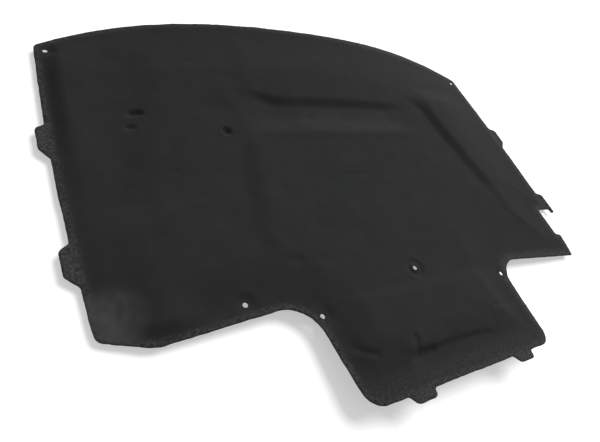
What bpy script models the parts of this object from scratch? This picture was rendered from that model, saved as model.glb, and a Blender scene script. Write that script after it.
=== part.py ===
"""Moulded hood insulation pad, lying with its engine side up.

A felt blank is cut to the outline, pierced for its clips and pressed in one stroke: a thin rim runs
round the edge, and the padded field within it carries the relief that clears the hood frame. The hood
side swells a little below the rim, and the pad rests on that swell along its two sides. X runs across
the car, Y towards the windscreen and Z up. Sizes are metres. The outline is drafted with its zero on
the centre line, level with the two rear corners, and is centred when the solid is made. A station is
a distance in front of the corner line.
"""

import math
from typing import NamedTuple

import bmesh
import bpy
import numpy as np
from mathutils.geometry import delaunay_2d_cdt

# Rear edge: a flattened curve that would run on a little past the sides
REAR_HALF_WIDTH = 0.633
REAR_RISE = 0.089
REAR_FULLNESS = 3.55
REAR_OVERRUN = 0.0195
REAR_CORNER_ROUND = 0.012

# Sides, slightly bowed, and the two front wings
SIDE_LENGTH = 0.6455
SIDE_BOW = 0.0095
WING_HALF_WIDTH = 0.6325
WING_CORNER_ROUND = 0.0245
WING_BELLY_INSET = 0.0815
WING_BELLY_DROP = 0.031
WING_BELLY_ROUND = 0.080
WING_ROOT_DROP = 0.014

# Tongue between the wings
TONGUE_ROOT_HALF_WIDTH = 0.2745
TONGUE_END_HALF_WIDTH = 0.252
TONGUE_LENGTH = 0.2135
TONGUE_BEND_ROUND = 0.0665
TONGUE_CORNER_ROUND = 0.0385

# Tuck-in tabs: two on each side, set from the rear corner and from the wing corner, and two on
# the tongue's end
REAR_TAB_START = 0.210
FRONT_TAB_SETBACK = 0.093
SIDE_TAB_LENGTH = 0.0815
SIDE_TAB_REACH = 0.0185
SIDE_TAB_REAR_TAPER = 0.0125
SIDE_TAB_FRONT_TAPER = 0.0255
END_TAB_CENTRE = 0.144
END_TAB_WIDTH = 0.0575
END_TAB_REACH = 0.017
END_TAB_TAPER = 0.006
TAB_ROUND = 0.009
TAB_ROOT_ROUND = 0.005
TAB_LIFT = 0.002

# Cut-out behind the right front tab, whose end hooks over it, and the narrower right wing tip
CUTOUT_LENGTH = 0.085
CUTOUT_DEPTH = 0.045
CUTOUT_SHOULDER = 0.0215
HOOKED_TAB_LENGTH = 0.059
HOOK_DROP = 0.0145
HOOK_WIDTH = 0.0115
HOOK_ROUND = 0.0055
RIGHT_TIP_INSET = 0.032
RIGHT_TIP_DROP = 0.0385
RIGHT_TIP_ROUND = 0.007

# Clip holes
CLIP_HOLE_RADIUS = 0.0045
CLIP_SEAT_RADIUS = 0.010
CLIP_SEAT_SLOPE = 0.014
CLIP_SEAT_THICKNESS = 0.010
CORNER_CLIP_INSET = 0.020
CORNER_CLIP_SETBACK = 0.008
TONGUE_CLIP_INSET = 0.017
TONGUE_CLIP_SETBACK = 0.0335
CENTRE_CLIP_SETBACK = 0.0185
WING_CLIP_OFFSET = 0.390
WING_CLIP_SETBACK = 0.0205

# Section of the felt, and how high the rim stands over the table
RIM_THICKNESS = 0.0035
RIM_WIDTH = 0.005
RIM_LEVEL = 0.011
FIELD_THICKNESS = 0.0135
BACK_SWELL = 0.0145
BACK_SLOPE = 0.036

# Slopes from the rim up to the field: steep on the left side and the tongue's left side, steep again
# at the left wing's belly, and broad elsewhere
FIELD_SLOPE = 0.110
REAR_SLOPE = 0.170
REAR_SLOPE_END = 0.215
STEEP_SLOPE = 0.036
STEEP_END_STATION = 0.400
STEEP_FACING = 0.85
WING_SIDE_SLOPE = 0.085
TONGUE_STEEP_SLOPE = 0.045
BELLY_SLOPE = 0.040
BELLY_START_STATION = 0.323
BELLY_START_SLOPE = 0.323
BELLY_INNER_END = 0.455
BELLY_OUTER_END = 0.565
BELLY_END_SLOPE = 0.040

# Left wing corner, pressed lower than the field
CORNER_PRESS = 0.15
CORNER_PRESS_RADIUS = 0.070
CORNER_PRESS_WALL = 0.060

# Arch across the car at the rear edge, half way and at the tongue's end
ARCH_REAR = 0.054
ARCH_MIDDLE = 0.0135
ARCH_FRONT = 0.045

# Raised flank along the right side: its inner wall nears the side from rear to front
FLANK_RISE = 0.0120
FLANK_FRONT_RISE = 0.0028
FLANK_REAR_INSET = 0.292
FLANK_FRONT_INSET = 0.155
FLANK_SWEEP = 1.4
FLANK_WALL_WIDTH = 0.064
FLANK_SOFT_WALL = 0.130
FLANK_SOFT_STATION = 0.175
FLANK_REAR_STATION = 0.085
FLANK_FRONT_SETBACK = 0.030
FLANK_END_SLOPE = 0.080

# Valley along the left side, steeper on its inner side
VALLEY_DEPTH = 0.0055
VALLEY_INSET = 0.166
VALLEY_LEAN = 0.210
VALLEY_RAMP = 0.100
VALLEY_WALL = 0.055
VALLEY_REAR_STATION = 0.010
VALLEY_FRONT_STATION = 0.440
VALLEY_END_SLOPE = 0.080

# Trough across the rear of the field, which runs out towards the right
TROUGH_DEPTH = 0.0075
TROUGH_REAR_STATION = 0.158
TROUGH_FRONT_STATION = 0.222
TROUGH_REAR_WALL = 0.026
TROUGH_FRONT_WALL = 0.052
TROUGH_LEFT_END = -0.185
TROUGH_RIGHT_END = 0.270
TROUGH_LEFT_SLOPE = 0.070
TROUGH_RIGHT_SLOPE = 0.140

# Long ridge left of the centre line, and the low step behind it on the same line
RIDGE_HEIGHT = 0.0055
RIDGE_LEFT_SLOPE = 0.045
RIDGE_RIGHT_SLOPE = 0.020
RIDGE_RIGHT_DROP = 0.28
RIDGE_FADE = 0.150
RIDGE_OFFSET = 0.200
RIDGE_LEAN = 0.215
RIDGE_START = 0.120
RIDGE_REAR_STATION = 0.260
RIDGE_REAR_SLOPE = 0.100
RIDGE_FRONT_SETBACK = 0.112
RIDGE_FRONT_SLOPE = 0.070
STEP_SHARE = 0.45
STEP_STATION = 0.130

# Low bead that curves in from the ridge's front end
HOOK_HEIGHT = 0.0015
HOOK_HALF_WIDTH = 0.018
HOOK_RADIUS = 0.040
HOOK_REACH = 0.055

# Tongue: a low step up across its root, a flap pressed lower beyond a curved wall, and a short crease
TONGUE_RISE = 0.0040
TONGUE_RISE_SETBACK = 0.020
TONGUE_RISE_WALL = 0.034
TONGUE_RISE_HALF_WIDTH = 0.190
TONGUE_RISE_END_SLOPE = 0.060
FLAP_PRESS = 0.45
FLAP_SETBACK = 0.061
FLAP_SAG = 0.007
FLAP_WALL = 0.014
FLAP_SOFT_WALL = 0.060
FLAP_LEFT = -0.135
FLAP_RIGHT = 0.105
FLAP_END_SLOPE = 0.030
CREASE_DEPTH = 0.0022
CREASE_HALF_WIDTH = 0.009
CREASE_INSET = 0.006
CREASE_SETBACK = 0.112
CREASE_LENGTH = 0.040
CREASE_DROP = 0.027

# Locating dimples in the left half, as place across, station and half length, and an oval one in the
# tongue
DIMPLE_DEPTH = 0.0050
DIMPLE_RADIUS = 0.011
DIMPLE_WALL = 0.009
DIMPLES = ((-0.297, 0.249, 0.0), (-0.475, 0.207, 0.012), (-0.494, 0.242, 0.008))
OVAL_OFFSET = 0.113
OVAL_SETBACK = 0.087
OVAL_HALF_WIDTH = 0.009
OVAL_HALF_LENGTH = 0.011

# Spacing of the facets, and how far they keep clear of each other
EDGE_STEP = 0.018
FIELD_STEP = 0.0225
RELIEF_STEP = 0.015
BACK_STEP = 0.046
BACK_EDGE_STEP = 0.036
EDGE_CLEARANCE = 0.006
GUIDE_CLEARANCE = 0.006
FIELD_CLEARANCE = 0.0133
BACK_CLEARANCE = 0.018
CURVE_SEGMENTS = 5
HOLE_SEGMENTS = 16
REAR_SEGMENTS = 44
SIDE_SEGMENTS = 5
RIDGE_SEGMENTS = 4
HOOK_SEGMENTS = 4
FLAP_SEGMENTS = 8
WALL_ROWS = (-0.5, -0.25, 0.0, 0.25, 0.5)
SLOPE_ROWS = (0.25, 0.625, 1.0)
BACK_ROWS = (0.25, 1.0)
FLATTEST_CORNER = math.radians(179.6)
TANGENT_SHARE = 0.49
SHORTEST_LINE = 1e-4
SNAP = 1e-7

# Finish
FELT_COLOUR = (0.021, 0.022, 0.023, 1.0)
FELT_ROUGHNESS = 0.95
SHARP_ANGLE = math.radians(50)


class Corner(NamedTuple):
    """A corner of the outline and the radius that rounds it."""

    x: float
    y: float
    round: float = 0.0


def ease(t):
    """Smooth step from 0 to 1 as t runs from 0 to 1."""
    t = np.clip(t, 0.0, 1.0)
    return t * t * (3.0 - 2.0 * t)


def wall(past, width):
    """Smooth wall of the given width, half way up where past is zero."""
    return ease(past / width + 0.5)


def side_half_width(y):
    """Half width of the pad, without its tabs, at drafting height y."""
    share = np.clip(-y / SIDE_LENGTH, 0.0, 1.0)
    straight = REAR_HALF_WIDTH + (WING_HALF_WIDTH - REAR_HALF_WIDTH) * share
    return straight + SIDE_BOW * 4.0 * share * (1.0 - share)


def rear_edge(x):
    """Drafting height of the rear edge at x."""
    return REAR_RISE * (1.0 - (abs(x) / (REAR_HALF_WIDTH + REAR_OVERRUN)) ** REAR_FULLNESS)


def rear_curve():
    """Corners of the rear edge from left to right, without its two end corners."""
    across = np.linspace(-REAR_HALF_WIDTH, REAR_HALF_WIDTH, REAR_SEGMENTS + 1)[1:-1]
    return [Corner(float(x), float(rear_edge(x))) for x in across]


def front_tab_start():
    """Distance from the corner line to the rear end of the front side tabs."""
    return SIDE_LENGTH - FRONT_TAB_SETBACK - SIDE_TAB_LENGTH


def side_tab(start, sign):
    """Corners of one tapered side tab, rear end first."""
    root_end = start + SIDE_TAB_LENGTH
    tip = side_half_width(-start) + SIDE_TAB_REACH
    return [
        Corner(sign * side_half_width(-start), -start, TAB_ROOT_ROUND),
        Corner(sign * tip, -start - SIDE_TAB_REAR_TAPER, TAB_ROUND),
        Corner(sign * tip, -root_end + SIDE_TAB_FRONT_TAPER, TAB_ROUND),
        Corner(sign * side_half_width(-root_end), -root_end, TAB_ROOT_ROUND),
    ]


def end_tab(sign):
    """Corners of one tab on the tongue's end, outer end first."""
    end = tongue_end()
    root = END_TAB_WIDTH / 2
    tip = root - END_TAB_TAPER
    return [
        Corner(sign * (END_TAB_CENTRE + root), end, TAB_ROOT_ROUND),
        Corner(sign * (END_TAB_CENTRE + tip), end - END_TAB_REACH, TAB_ROUND),
        Corner(sign * (END_TAB_CENTRE - tip), end - END_TAB_REACH, TAB_ROUND),
        Corner(sign * (END_TAB_CENTRE - root), end, TAB_ROOT_ROUND),
    ]


def wing_root():
    """Drafting height at which a wing's front edge meets the tongue."""
    return -SIDE_LENGTH - WING_ROOT_DROP


def tongue_end():
    """Drafting height of the tongue's end, without its tabs."""
    return wing_root() - TONGUE_LENGTH


def cutout_top():
    """Drafting height of the cut-out's rear end, where the hooked tab stops."""
    return -front_tab_start() - HOOKED_TAB_LENGTH


def cutout_corners():
    """Corners of the right-hand cut-out, from its rear end to the wing's shoulder."""
    inner = side_half_width(cutout_top()) - CUTOUT_DEPTH
    bottom = cutout_top() - CUTOUT_LENGTH
    return [
        Corner(inner, cutout_top(), TAB_ROOT_ROUND),
        Corner(inner, bottom, TAB_ROOT_ROUND),
        Corner(inner + CUTOUT_SHOULDER, bottom, TAB_ROOT_ROUND),
    ]


def hooked_tab():
    """Corners of the right-hand tab whose free end hooks over the cut-out."""
    start = front_tab_start()
    tip = side_half_width(-start) + SIDE_TAB_REACH
    return [
        Corner(side_half_width(-start), -start, TAB_ROOT_ROUND),
        Corner(tip, -start - SIDE_TAB_REAR_TAPER, TAB_ROUND),
        Corner(tip, cutout_top() - HOOK_DROP, HOOK_ROUND),
        Corner(tip - HOOK_WIDTH, cutout_top() - HOOK_DROP, HOOK_ROUND),
        Corner(tip - HOOK_WIDTH, cutout_top(), HOOK_ROUND),
    ]


def wing_front(sign):
    """Corners of a wing's front edge and the bend into the tongue."""
    belly_x = WING_HALF_WIDTH - WING_BELLY_INSET
    belly = Corner(sign * belly_x, -SIDE_LENGTH - WING_BELLY_DROP, WING_BELLY_ROUND)
    bend = Corner(sign * TONGUE_ROOT_HALF_WIDTH, wing_root(), TONGUE_BEND_ROUND)
    return [belly, bend]


def right_tip():
    """The right wing's narrower, sharper tip."""
    return Corner(WING_HALF_WIDTH - RIGHT_TIP_INSET, -SIDE_LENGTH - RIGHT_TIP_DROP, RIGHT_TIP_ROUND)


def outline_corners(with_tabs):
    """Corners of the whole outline, clockwise from above, with or without the tuck-in tabs."""
    rear_right = Corner(REAR_HALF_WIDTH, rear_edge(REAR_HALF_WIDTH), REAR_CORNER_ROUND)
    rear_left = Corner(-REAR_HALF_WIDTH, rear_edge(REAR_HALF_WIDTH), REAR_CORNER_ROUND)
    wing_left = Corner(-WING_HALF_WIDTH, -SIDE_LENGTH, WING_CORNER_ROUND)
    end_right = Corner(TONGUE_END_HALF_WIDTH, tongue_end(), TONGUE_CORNER_ROUND)
    end_left = Corner(-TONGUE_END_HALF_WIDTH, tongue_end(), TONGUE_CORNER_ROUND)
    edge_right = Corner(side_half_width(cutout_top()), cutout_top(), TAB_ROOT_ROUND)

    corners = [*rear_curve(), rear_right]
    if with_tabs:
        corners += [*side_tab(REAR_TAB_START, 1), *hooked_tab()]
    else:
        corners += [*bowed_side(0.0, cutout_top(), 1), edge_right]
    corners += [*cutout_corners(), right_tip(), wing_front(1)[1], end_right]
    if with_tabs:
        corners += [*end_tab(1), *reversed(end_tab(-1))]
    corners += [end_left, *reversed(wing_front(-1)), wing_left]
    if with_tabs:
        for start in (front_tab_start(), REAR_TAB_START):
            corners += reversed(side_tab(start, -1))
    else:
        corners += reversed(bowed_side(0.0, -SIDE_LENGTH, -1))
    return [*corners, rear_left]


def bowed_side(start, end, sign):
    """Corners along one bowed side between two drafting heights, ends left out."""
    heights = np.linspace(start, end, SIDE_SEGMENTS + 1)[1:-1]
    return [Corner(sign * float(side_half_width(y)), float(y)) for y in heights]


def rounded(corners):
    """Points of the closed outline, with each corner turned into an arc of its own radius."""
    points = []
    for before, corner, after in zip([corners[-1], *corners[:-1]], corners, [*corners[1:], corners[0]]):
        centre = np.array(corner[:2])
        towards = [np.array(other[:2]) - centre for other in (before, after)]
        lengths = [np.linalg.norm(way) for way in towards]
        first, second = (way / length for way, length in zip(towards, lengths))
        angle = math.acos(float(np.clip(first @ second, -1.0, 1.0)))
        if corner.round == 0.0 or angle > FLATTEST_CORNER:
            points.append(centre)
            continue
        tangent = min(corner.round / math.tan(angle / 2), TANGENT_SHARE * min(lengths))
        radius = tangent * math.tan(angle / 2)
        inward = (first + second) / np.linalg.norm(first + second)
        middle = centre + inward * radius / math.sin(angle / 2)
        start = centre + first * tangent - middle
        turn = math.copysign(math.pi - angle, start[1] * first[0] - start[0] * first[1])
        for step in range(CURVE_SEGMENTS + 1):
            turned = turn * step / CURVE_SEGMENTS
            cosine, sine = math.cos(turned), math.sin(turned)
            points.append(middle + (start[0] * cosine - start[1] * sine, start[0] * sine + start[1] * cosine))
    return np.array(points)


def subdivided(loop, longest):
    """The closed loop with no side longer than the given length."""
    points = []
    for start, end in zip(loop, np.roll(loop, -1, axis=0)):
        count = max(1, math.ceil(np.linalg.norm(end - start) / longest))
        points.extend(start + (end - start) * step / count for step in range(count))
    return np.array(points)


def distance_to_sides(points, starts, ends):
    """Distance of each point from the nearest of the sides that run from starts to ends."""
    nearest = np.full(len(points), np.inf)
    for start, end in zip(starts, ends):
        side = end - start
        share = np.clip(((points - start) @ side) / (side @ side), 0.0, 1.0)
        nearest = np.minimum(nearest, np.linalg.norm(points - start - share[:, None] * side, axis=1))
    return nearest


def distance_to_line(points, line):
    """Distance of each point from the open line's segments."""
    return distance_to_sides(points, line[:-1], line[1:])


def distance_to_loop(points, loop):
    """Distance of each point from the closed loop's sides."""
    return distance_to_sides(points, loop, np.roll(loop, -1, axis=0))


def inside_loop(points, loop):
    """Whether each point lies inside the closed loop."""
    inside = np.zeros(len(points), bool)
    for start, end in zip(loop, np.roll(loop, -1, axis=0)):
        if start[1] == end[1]:
            continue
        crosses = (start[1] > points[:, 1]) != (end[1] > points[:, 1])
        at = start[0] + (points[:, 1] - start[1]) * (end[0] - start[0]) / (end[1] - start[1])
        inside ^= crosses & (points[:, 0] < at)
    return inside


def clip_holes():
    """Centres of the clip holes in the drafting frame."""
    corner_x = REAR_HALF_WIDTH - CORNER_CLIP_INSET
    tongue_x = TONGUE_ROOT_HALF_WIDTH - TONGUE_CLIP_INSET
    wing_edge = wing_root()
    return np.array([
        (-corner_x, -CORNER_CLIP_SETBACK),
        (corner_x, -CORNER_CLIP_SETBACK),
        (-tongue_x, wing_edge - TONGUE_CLIP_SETBACK),
        (tongue_x, wing_edge - TONGUE_CLIP_SETBACK),
        (0.0, wing_edge + CENTRE_CLIP_SETBACK),
        (-WING_CLIP_OFFSET, wing_edge + WING_CLIP_SETBACK),
    ])


def arch(points):
    """Height of the rim's underside: an arch across the car that springs from the two sides."""
    rear, front = REAR_RISE, tongue_end()
    share = (rear - points[:, 1]) / (rear - front)
    weights = ((1 - share) * (1 - 2 * share), 4 * share * (1 - share), share * (2 * share - 1))
    rise = sum(w * height for w, height in zip(weights, (ARCH_REAR, ARCH_MIDDLE, ARCH_FRONT)))
    across = points[:, 0] / side_half_width(points[:, 1])
    return RIM_LEVEL + rise * np.clip(1.0 - across**2, 0.0, None)


def tab_lift(points):
    """How far the tabs turn up beyond the pad's edge."""
    past_side = np.abs(points[:, 0]) - side_half_width(points[:, 1])
    past_end = tongue_end() - points[:, 1]
    return TAB_LIFT * (ease(past_side / SIDE_TAB_REACH) + ease(past_end / END_TAB_REACH))


def steep_sides(body):
    """The outline's sides that face left, as starts and ends, and then the other sides."""
    ends = np.roll(body, -1, axis=0)
    way = ends - body
    facing = way[:, 1] > STEEP_FACING * np.linalg.norm(way, axis=1)
    return (body[facing], ends[facing]), (body[~facing], ends[~facing])


def steep_slope(station):
    """Width of the slope beside the sides that face left."""
    flatter = ease((station - STEEP_END_STATION) / (SIDE_LENGTH - STEEP_END_STATION))
    beside_wing = STEEP_SLOPE + (WING_SIDE_SLOPE - STEEP_SLOPE) * flatter
    in_tongue = ease((station - SIDE_LENGTH) / TONGUE_STEEP_SLOPE + 1.0)
    return beside_wing + (TONGUE_STEEP_SLOPE - beside_wing) * in_tongue


def broad_slope(points):
    """Width of the slope beside all other sides."""
    station = -points[:, 1]
    slope = REAR_SLOPE + (FIELD_SLOPE - REAR_SLOPE) * ease(station / REAR_SLOPE_END)
    at_belly = wall(-points[:, 0] - BELLY_INNER_END, BELLY_END_SLOPE)
    at_belly *= wall(BELLY_OUTER_END + points[:, 0], BELLY_END_SLOPE)
    at_belly *= ease((station - BELLY_START_STATION) / BELLY_START_SLOPE)
    return slope + (BELLY_SLOPE - slope) * at_belly


def flap_line(x):
    """Drafting height of the wall behind the tongue's flap."""
    middle = 0.5 * (FLAP_LEFT + FLAP_RIGHT)
    sag = FLAP_SAG * (1.0 - (2.0 * (x - middle) / (FLAP_RIGHT - FLAP_LEFT)) ** 2)
    return tongue_end() + FLAP_SETBACK + np.maximum(sag, 0.0)


def field_share(points, body):
    """From 0 on the rim to 1 in the padded field."""
    steep, others = steep_sides(body)
    share = ease((distance_to_sides(points, *steep) - RIM_WIDTH) / steep_slope(-points[:, 1]))
    share *= ease((distance_to_sides(points, *others) - RIM_WIDTH) / broad_slope(points))
    from_corner = np.linalg.norm(points - (-WING_HALF_WIDTH, -SIDE_LENGTH), axis=1)
    share *= 1.0 - CORNER_PRESS * wall(CORNER_PRESS_RADIUS - from_corner, CORNER_PRESS_WALL)

    within = wall(points[:, 0] - FLAP_LEFT, FLAP_END_SLOPE) * wall(FLAP_RIGHT - points[:, 0], FLAP_END_SLOPE)
    width = FLAP_SOFT_WALL + (FLAP_WALL - FLAP_SOFT_WALL) * within
    share *= 1.0 - FLAP_PRESS * ease((flap_line(points[:, 0]) - points[:, 1]) / width + 0.5)
    return np.where(inside_loop(points, body), share, 0.0)


def clip_seats(points):
    """From 1 on the clip seats to 0 beyond their slopes."""
    share = np.zeros(len(points))
    for hole in clip_holes():
        away = np.linalg.norm(points - hole, axis=1)
        share = np.maximum(share, 1.0 - ease((away - CLIP_SEAT_RADIUS) / CLIP_SEAT_SLOPE))
    return share


def flank_front_station():
    """Station of the flank's front end."""
    return SIDE_LENGTH - FLANK_FRONT_SETBACK


def flank_run(station):
    """How far a station lies along the flank, from 0 to 1."""
    return np.clip((station - FLANK_REAR_STATION) / (flank_front_station() - FLANK_REAR_STATION), 0.0, 1.0)


def flank_wall(station):
    """Distance of the flank's inner wall from the centre line."""
    nearer = (FLANK_REAR_INSET - FLANK_FRONT_INSET) * flank_run(station) ** FLANK_SWEEP
    return side_half_width(-station) - FLANK_REAR_INSET + nearer


def flank(points):
    """Raised zone along the right side, highest at the rear."""
    station = -points[:, 1]
    rise = FLANK_RISE + (FLANK_FRONT_RISE - FLANK_RISE) * flank_run(station)
    rise *= wall(station - FLANK_REAR_STATION, FLANK_END_SLOPE)
    rise *= wall(flank_front_station() - station, FLANK_END_SLOPE)
    softer = ease((FLANK_SOFT_STATION - station) / FLANK_END_SLOPE)
    width = FLANK_WALL_WIDTH + (FLANK_SOFT_WALL - FLANK_WALL_WIDTH) * softer
    return rise * wall(points[:, 0] - flank_wall(station), width)


def valley(points):
    """Valley along the left side."""
    station = -points[:, 1]
    past = points[:, 0] + REAR_HALF_WIDTH - VALLEY_INSET + VALLEY_LEAN * station
    section = ease(1.0 + past / VALLEY_RAMP) * ease(1.0 - past / VALLEY_WALL)
    section *= wall(station - VALLEY_REAR_STATION, VALLEY_END_SLOPE)
    section *= wall(VALLEY_FRONT_STATION - station, VALLEY_END_SLOPE)
    return -VALLEY_DEPTH * section


def trough(points):
    """Shallow trough across the rear of the field."""
    station, x = -points[:, 1], points[:, 0]
    share = wall(station - TROUGH_REAR_STATION, TROUGH_REAR_WALL)
    share *= wall(TROUGH_FRONT_STATION - station, TROUGH_FRONT_WALL)
    share *= wall(x - TROUGH_LEFT_END, TROUGH_LEFT_SLOPE)
    share *= wall(TROUGH_RIGHT_END - x, TROUGH_RIGHT_SLOPE)
    return -TROUGH_DEPTH * share


def ridge_front_station():
    """Station of the ridge's front end."""
    return SIDE_LENGTH - RIDGE_FRONT_SETBACK


def ridge_crest(station):
    """Place across of the ridge's crest."""
    return -RIDGE_OFFSET - RIDGE_LEAN * (station - RIDGE_START)


def ridge(points):
    """Ridge with a broad left slope, a sharp crest and a low right side."""
    station = -points[:, 1]
    past = points[:, 0] - ridge_crest(station)
    section = ease(1.0 + past / RIDGE_LEFT_SLOPE) * ease(1.0 - past / RIDGE_FADE)
    section *= 1.0 - RIDGE_RIGHT_DROP * ease(past / RIDGE_RIGHT_SLOPE)
    ends = wall(station - RIDGE_REAR_STATION, RIDGE_REAR_SLOPE)
    ends *= wall(ridge_front_station() - station, RIDGE_FRONT_SLOPE)
    ends += STEP_SHARE * wall(STEP_STATION - station, RIDGE_REAR_SLOPE)
    return RIDGE_HEIGHT * section * ends


def hook_line():
    """Centre line of the bead that curves in from the ridge's front end."""
    start = np.array([ridge_crest(ridge_front_station()), -ridge_front_station()])
    turns = np.linspace(0.0, 0.5 * math.pi, HOOK_SEGMENTS + 1)
    bend = start + HOOK_RADIUS * np.stack([1.0 - np.cos(turns), -np.sin(turns)], axis=1)
    return np.vstack([bend, bend[-1] + (HOOK_REACH, 0.0)])


def hook(points):
    """Low bead along the hook's line."""
    return HOOK_HEIGHT * ease(1.0 - distance_to_line(points, hook_line()) / HOOK_HALF_WIDTH)


def tongue_step(points):
    """Low step up across the tongue's root."""
    past = wing_root() - TONGUE_RISE_SETBACK - points[:, 1]
    within = wall(TONGUE_RISE_HALF_WIDTH - np.abs(points[:, 0]), TONGUE_RISE_END_SLOPE)
    return TONGUE_RISE * wall(past, TONGUE_RISE_WALL) * within


def crease_line():
    """Centre line of the short crease in the tongue's left corner."""
    x = -TONGUE_END_HALF_WIDTH + CREASE_INSET
    y = tongue_end() + CREASE_SETBACK
    return np.array([(x, y), (x + CREASE_LENGTH, y - CREASE_DROP)])


def crease(points):
    """Short crease in the tongue."""
    return -CREASE_DEPTH * ease(1.0 - distance_to_line(points, crease_line()) / CREASE_HALF_WIDTH)


def dimple_lines():
    """Centre lines of the dimples, which are very short where the dimple is round."""
    lines = []
    for x, station, half_length in DIMPLES:
        reach = half_length + SHORTEST_LINE
        lines.append(np.array([(x - reach, -station), (x + reach, -station)]))
    centre = np.array([-OVAL_OFFSET, tongue_end() + OVAL_SETBACK])
    half = np.array([OVAL_HALF_WIDTH, OVAL_HALF_LENGTH])
    return [*lines, np.array([centre - half, centre + half])]


def dimples(points):
    """Small locating dimples."""
    depth = np.zeros(len(points))
    for line in dimple_lines():
        depth -= DIMPLE_DEPTH * ease((DIMPLE_RADIUS - distance_to_line(points, line)) / DIMPLE_WALL)
    return depth


def felt_above(points, share):
    """Thickness of the felt above the rim's underside, with share from 0 on the rim to 1 in the field."""
    forms = (flank, valley, trough, ridge, hook, tongue_step, crease, dimples)
    padding = share * (FIELD_THICKNESS - RIM_THICKNESS + sum(form(points) for form in forms))
    seated_padding = np.minimum(padding, CLIP_SEAT_THICKNESS - RIM_THICKNESS)
    return RIM_THICKNESS + padding + clip_seats(points) * (seated_padding - padding)


def seated(points, heights):
    """Heights with a level seat round each clip hole, as the piercing punch leaves it."""
    for hole in clip_holes():
        level = arch(hole[None])[0]
        away = np.linalg.norm(points - hole, axis=1)
        blend = ease((away - CLIP_SEAT_RADIUS) / CLIP_SEAT_SLOPE)
        heights = level + blend * (heights - level)
    return heights


def back_swell(points, body):
    """How far the hood side swells below the rim's underside, with level seats left at the holes."""
    share = ease((distance_to_loop(points, body) - RIM_WIDTH) / BACK_SLOPE)
    share = np.where(inside_loop(points, body), share, 0.0)
    return BACK_SWELL * share * (1.0 - clip_seats(points))


def surface(points, body, is_top):
    """Heights of the engine side, or of the hood side, which is flat where it rests."""
    base = seated(points, arch(points)) + tab_lift(points)
    if is_top:
        return base + felt_above(points, field_share(points, body))
    return np.maximum(base - back_swell(points, body), 0.0)


def circle(centre, radius, segments):
    """Points of a circle."""
    angles = 2.0 * math.pi * np.arange(segments) / segments
    return centre + radius * np.stack([np.cos(angles), np.sin(angles)], axis=1)


def inset_loop(corners, distance):
    """The rounded outline drawn in by a distance, for placing facets along the pressed rim."""
    moved = []
    for before, corner, after in zip([corners[-1], *corners[:-1]], corners, [*corners[1:], corners[0]]):
        way_in = np.array(corner[:2]) - before[:2]
        way_out = np.array(after[:2]) - corner[:2]
        inner = [np.array([way[1], -way[0]]) / np.linalg.norm(way) for way in (way_in, way_out)]
        shift = (inner[0] + inner[1]) * distance / (1.0 + inner[0] @ inner[1])
        turns_in = way_in[0] * way_out[1] - way_in[1] * way_out[0] < 0.0
        radius = max(corner.round - distance, 0.0) if turns_in else corner.round + distance
        moved.append(Corner(corner.x + shift[0], corner.y + shift[1], radius if corner.round else 0.0))
    return rounded(moved)


def staggered_grid(trim, step):
    """Points of a staggered grid inside the outline."""
    row_step = step * math.sqrt(0.75)
    low = np.floor(trim.min(axis=0) / (step, row_step)).astype(int)
    high = np.ceil(trim.max(axis=0) / (step, row_step)).astype(int)
    points = []
    for row in range(low[1], high[1] + 1):
        shift = 0.5 * step * (row % 2)
        points.extend((column * step + shift, row * row_step) for column in range(low[0], high[0] + 1))
    grid = np.array(points)
    return grid[inside_loop(grid, trim)]


def rows_along(line, offsets):
    """Facet corners in rows beside an open line, each row at its own offset to the right."""
    points = []
    for start, end in zip(line[:-1], line[1:]):
        length = np.linalg.norm(end - start)
        across = np.array([end[1] - start[1], start[0] - end[0]]) / length
        count = math.ceil(length / RELIEF_STEP)
        for step in range(count):
            middle = start + (end - start) * step / count
            points.extend(middle + across * offset for offset in offsets)
    return points


def across_wall(width):
    """Offsets of the rows across a wall of the given width."""
    return [width * share for share in WALL_ROWS]


def relief_rows():
    """Facet corners along the walls of the relief."""
    rows = []
    for station, width in (
        (TROUGH_REAR_STATION, TROUGH_REAR_WALL),
        (TROUGH_FRONT_STATION, TROUGH_FRONT_WALL),
    ):
        ends = np.array([(TROUGH_LEFT_END, -station), (TROUGH_RIGHT_END, -station)])
        rows += rows_along(ends, across_wall(width))
    stations = np.linspace(RIDGE_REAR_STATION, ridge_front_station(), RIDGE_SEGMENTS + 1)
    crest = np.stack([ridge_crest(stations), -stations], axis=1)
    rows += rows_along(crest[::-1], (-RIDGE_LEFT_SLOPE, -RIDGE_LEFT_SLOPE / 2, 0.0, RIDGE_RIGHT_SLOPE))
    rows += rows_along(hook_line(), (-HOOK_HALF_WIDTH, 0.0, HOOK_HALF_WIDTH))
    stations = np.linspace(FLANK_SOFT_STATION, flank_front_station(), RIDGE_SEGMENTS + 1)
    rows += rows_along(np.stack([flank_wall(stations), -stations], axis=1), across_wall(FLANK_WALL_WIDTH))
    across = np.linspace(FLAP_LEFT, FLAP_RIGHT, FLAP_SEGMENTS + 1)
    rows += rows_along(np.stack([across, flap_line(across)], axis=1), (-FLAP_WALL / 2, 0.0, FLAP_WALL / 2))
    return rows + rows_along(crease_line(), (-CREASE_HALF_WIDTH, 0.0, CREASE_HALF_WIDTH))


def thinned(candidates, kept, clearance):
    """The candidates that keep a clearance from every kept point and from each other."""
    chosen = list(kept)
    result = []
    for point in candidates:
        if np.min(np.linalg.norm(np.array(chosen) - point, axis=1)) >= clearance:
            chosen.append(point)
            result.append(point)
    return result


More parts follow.
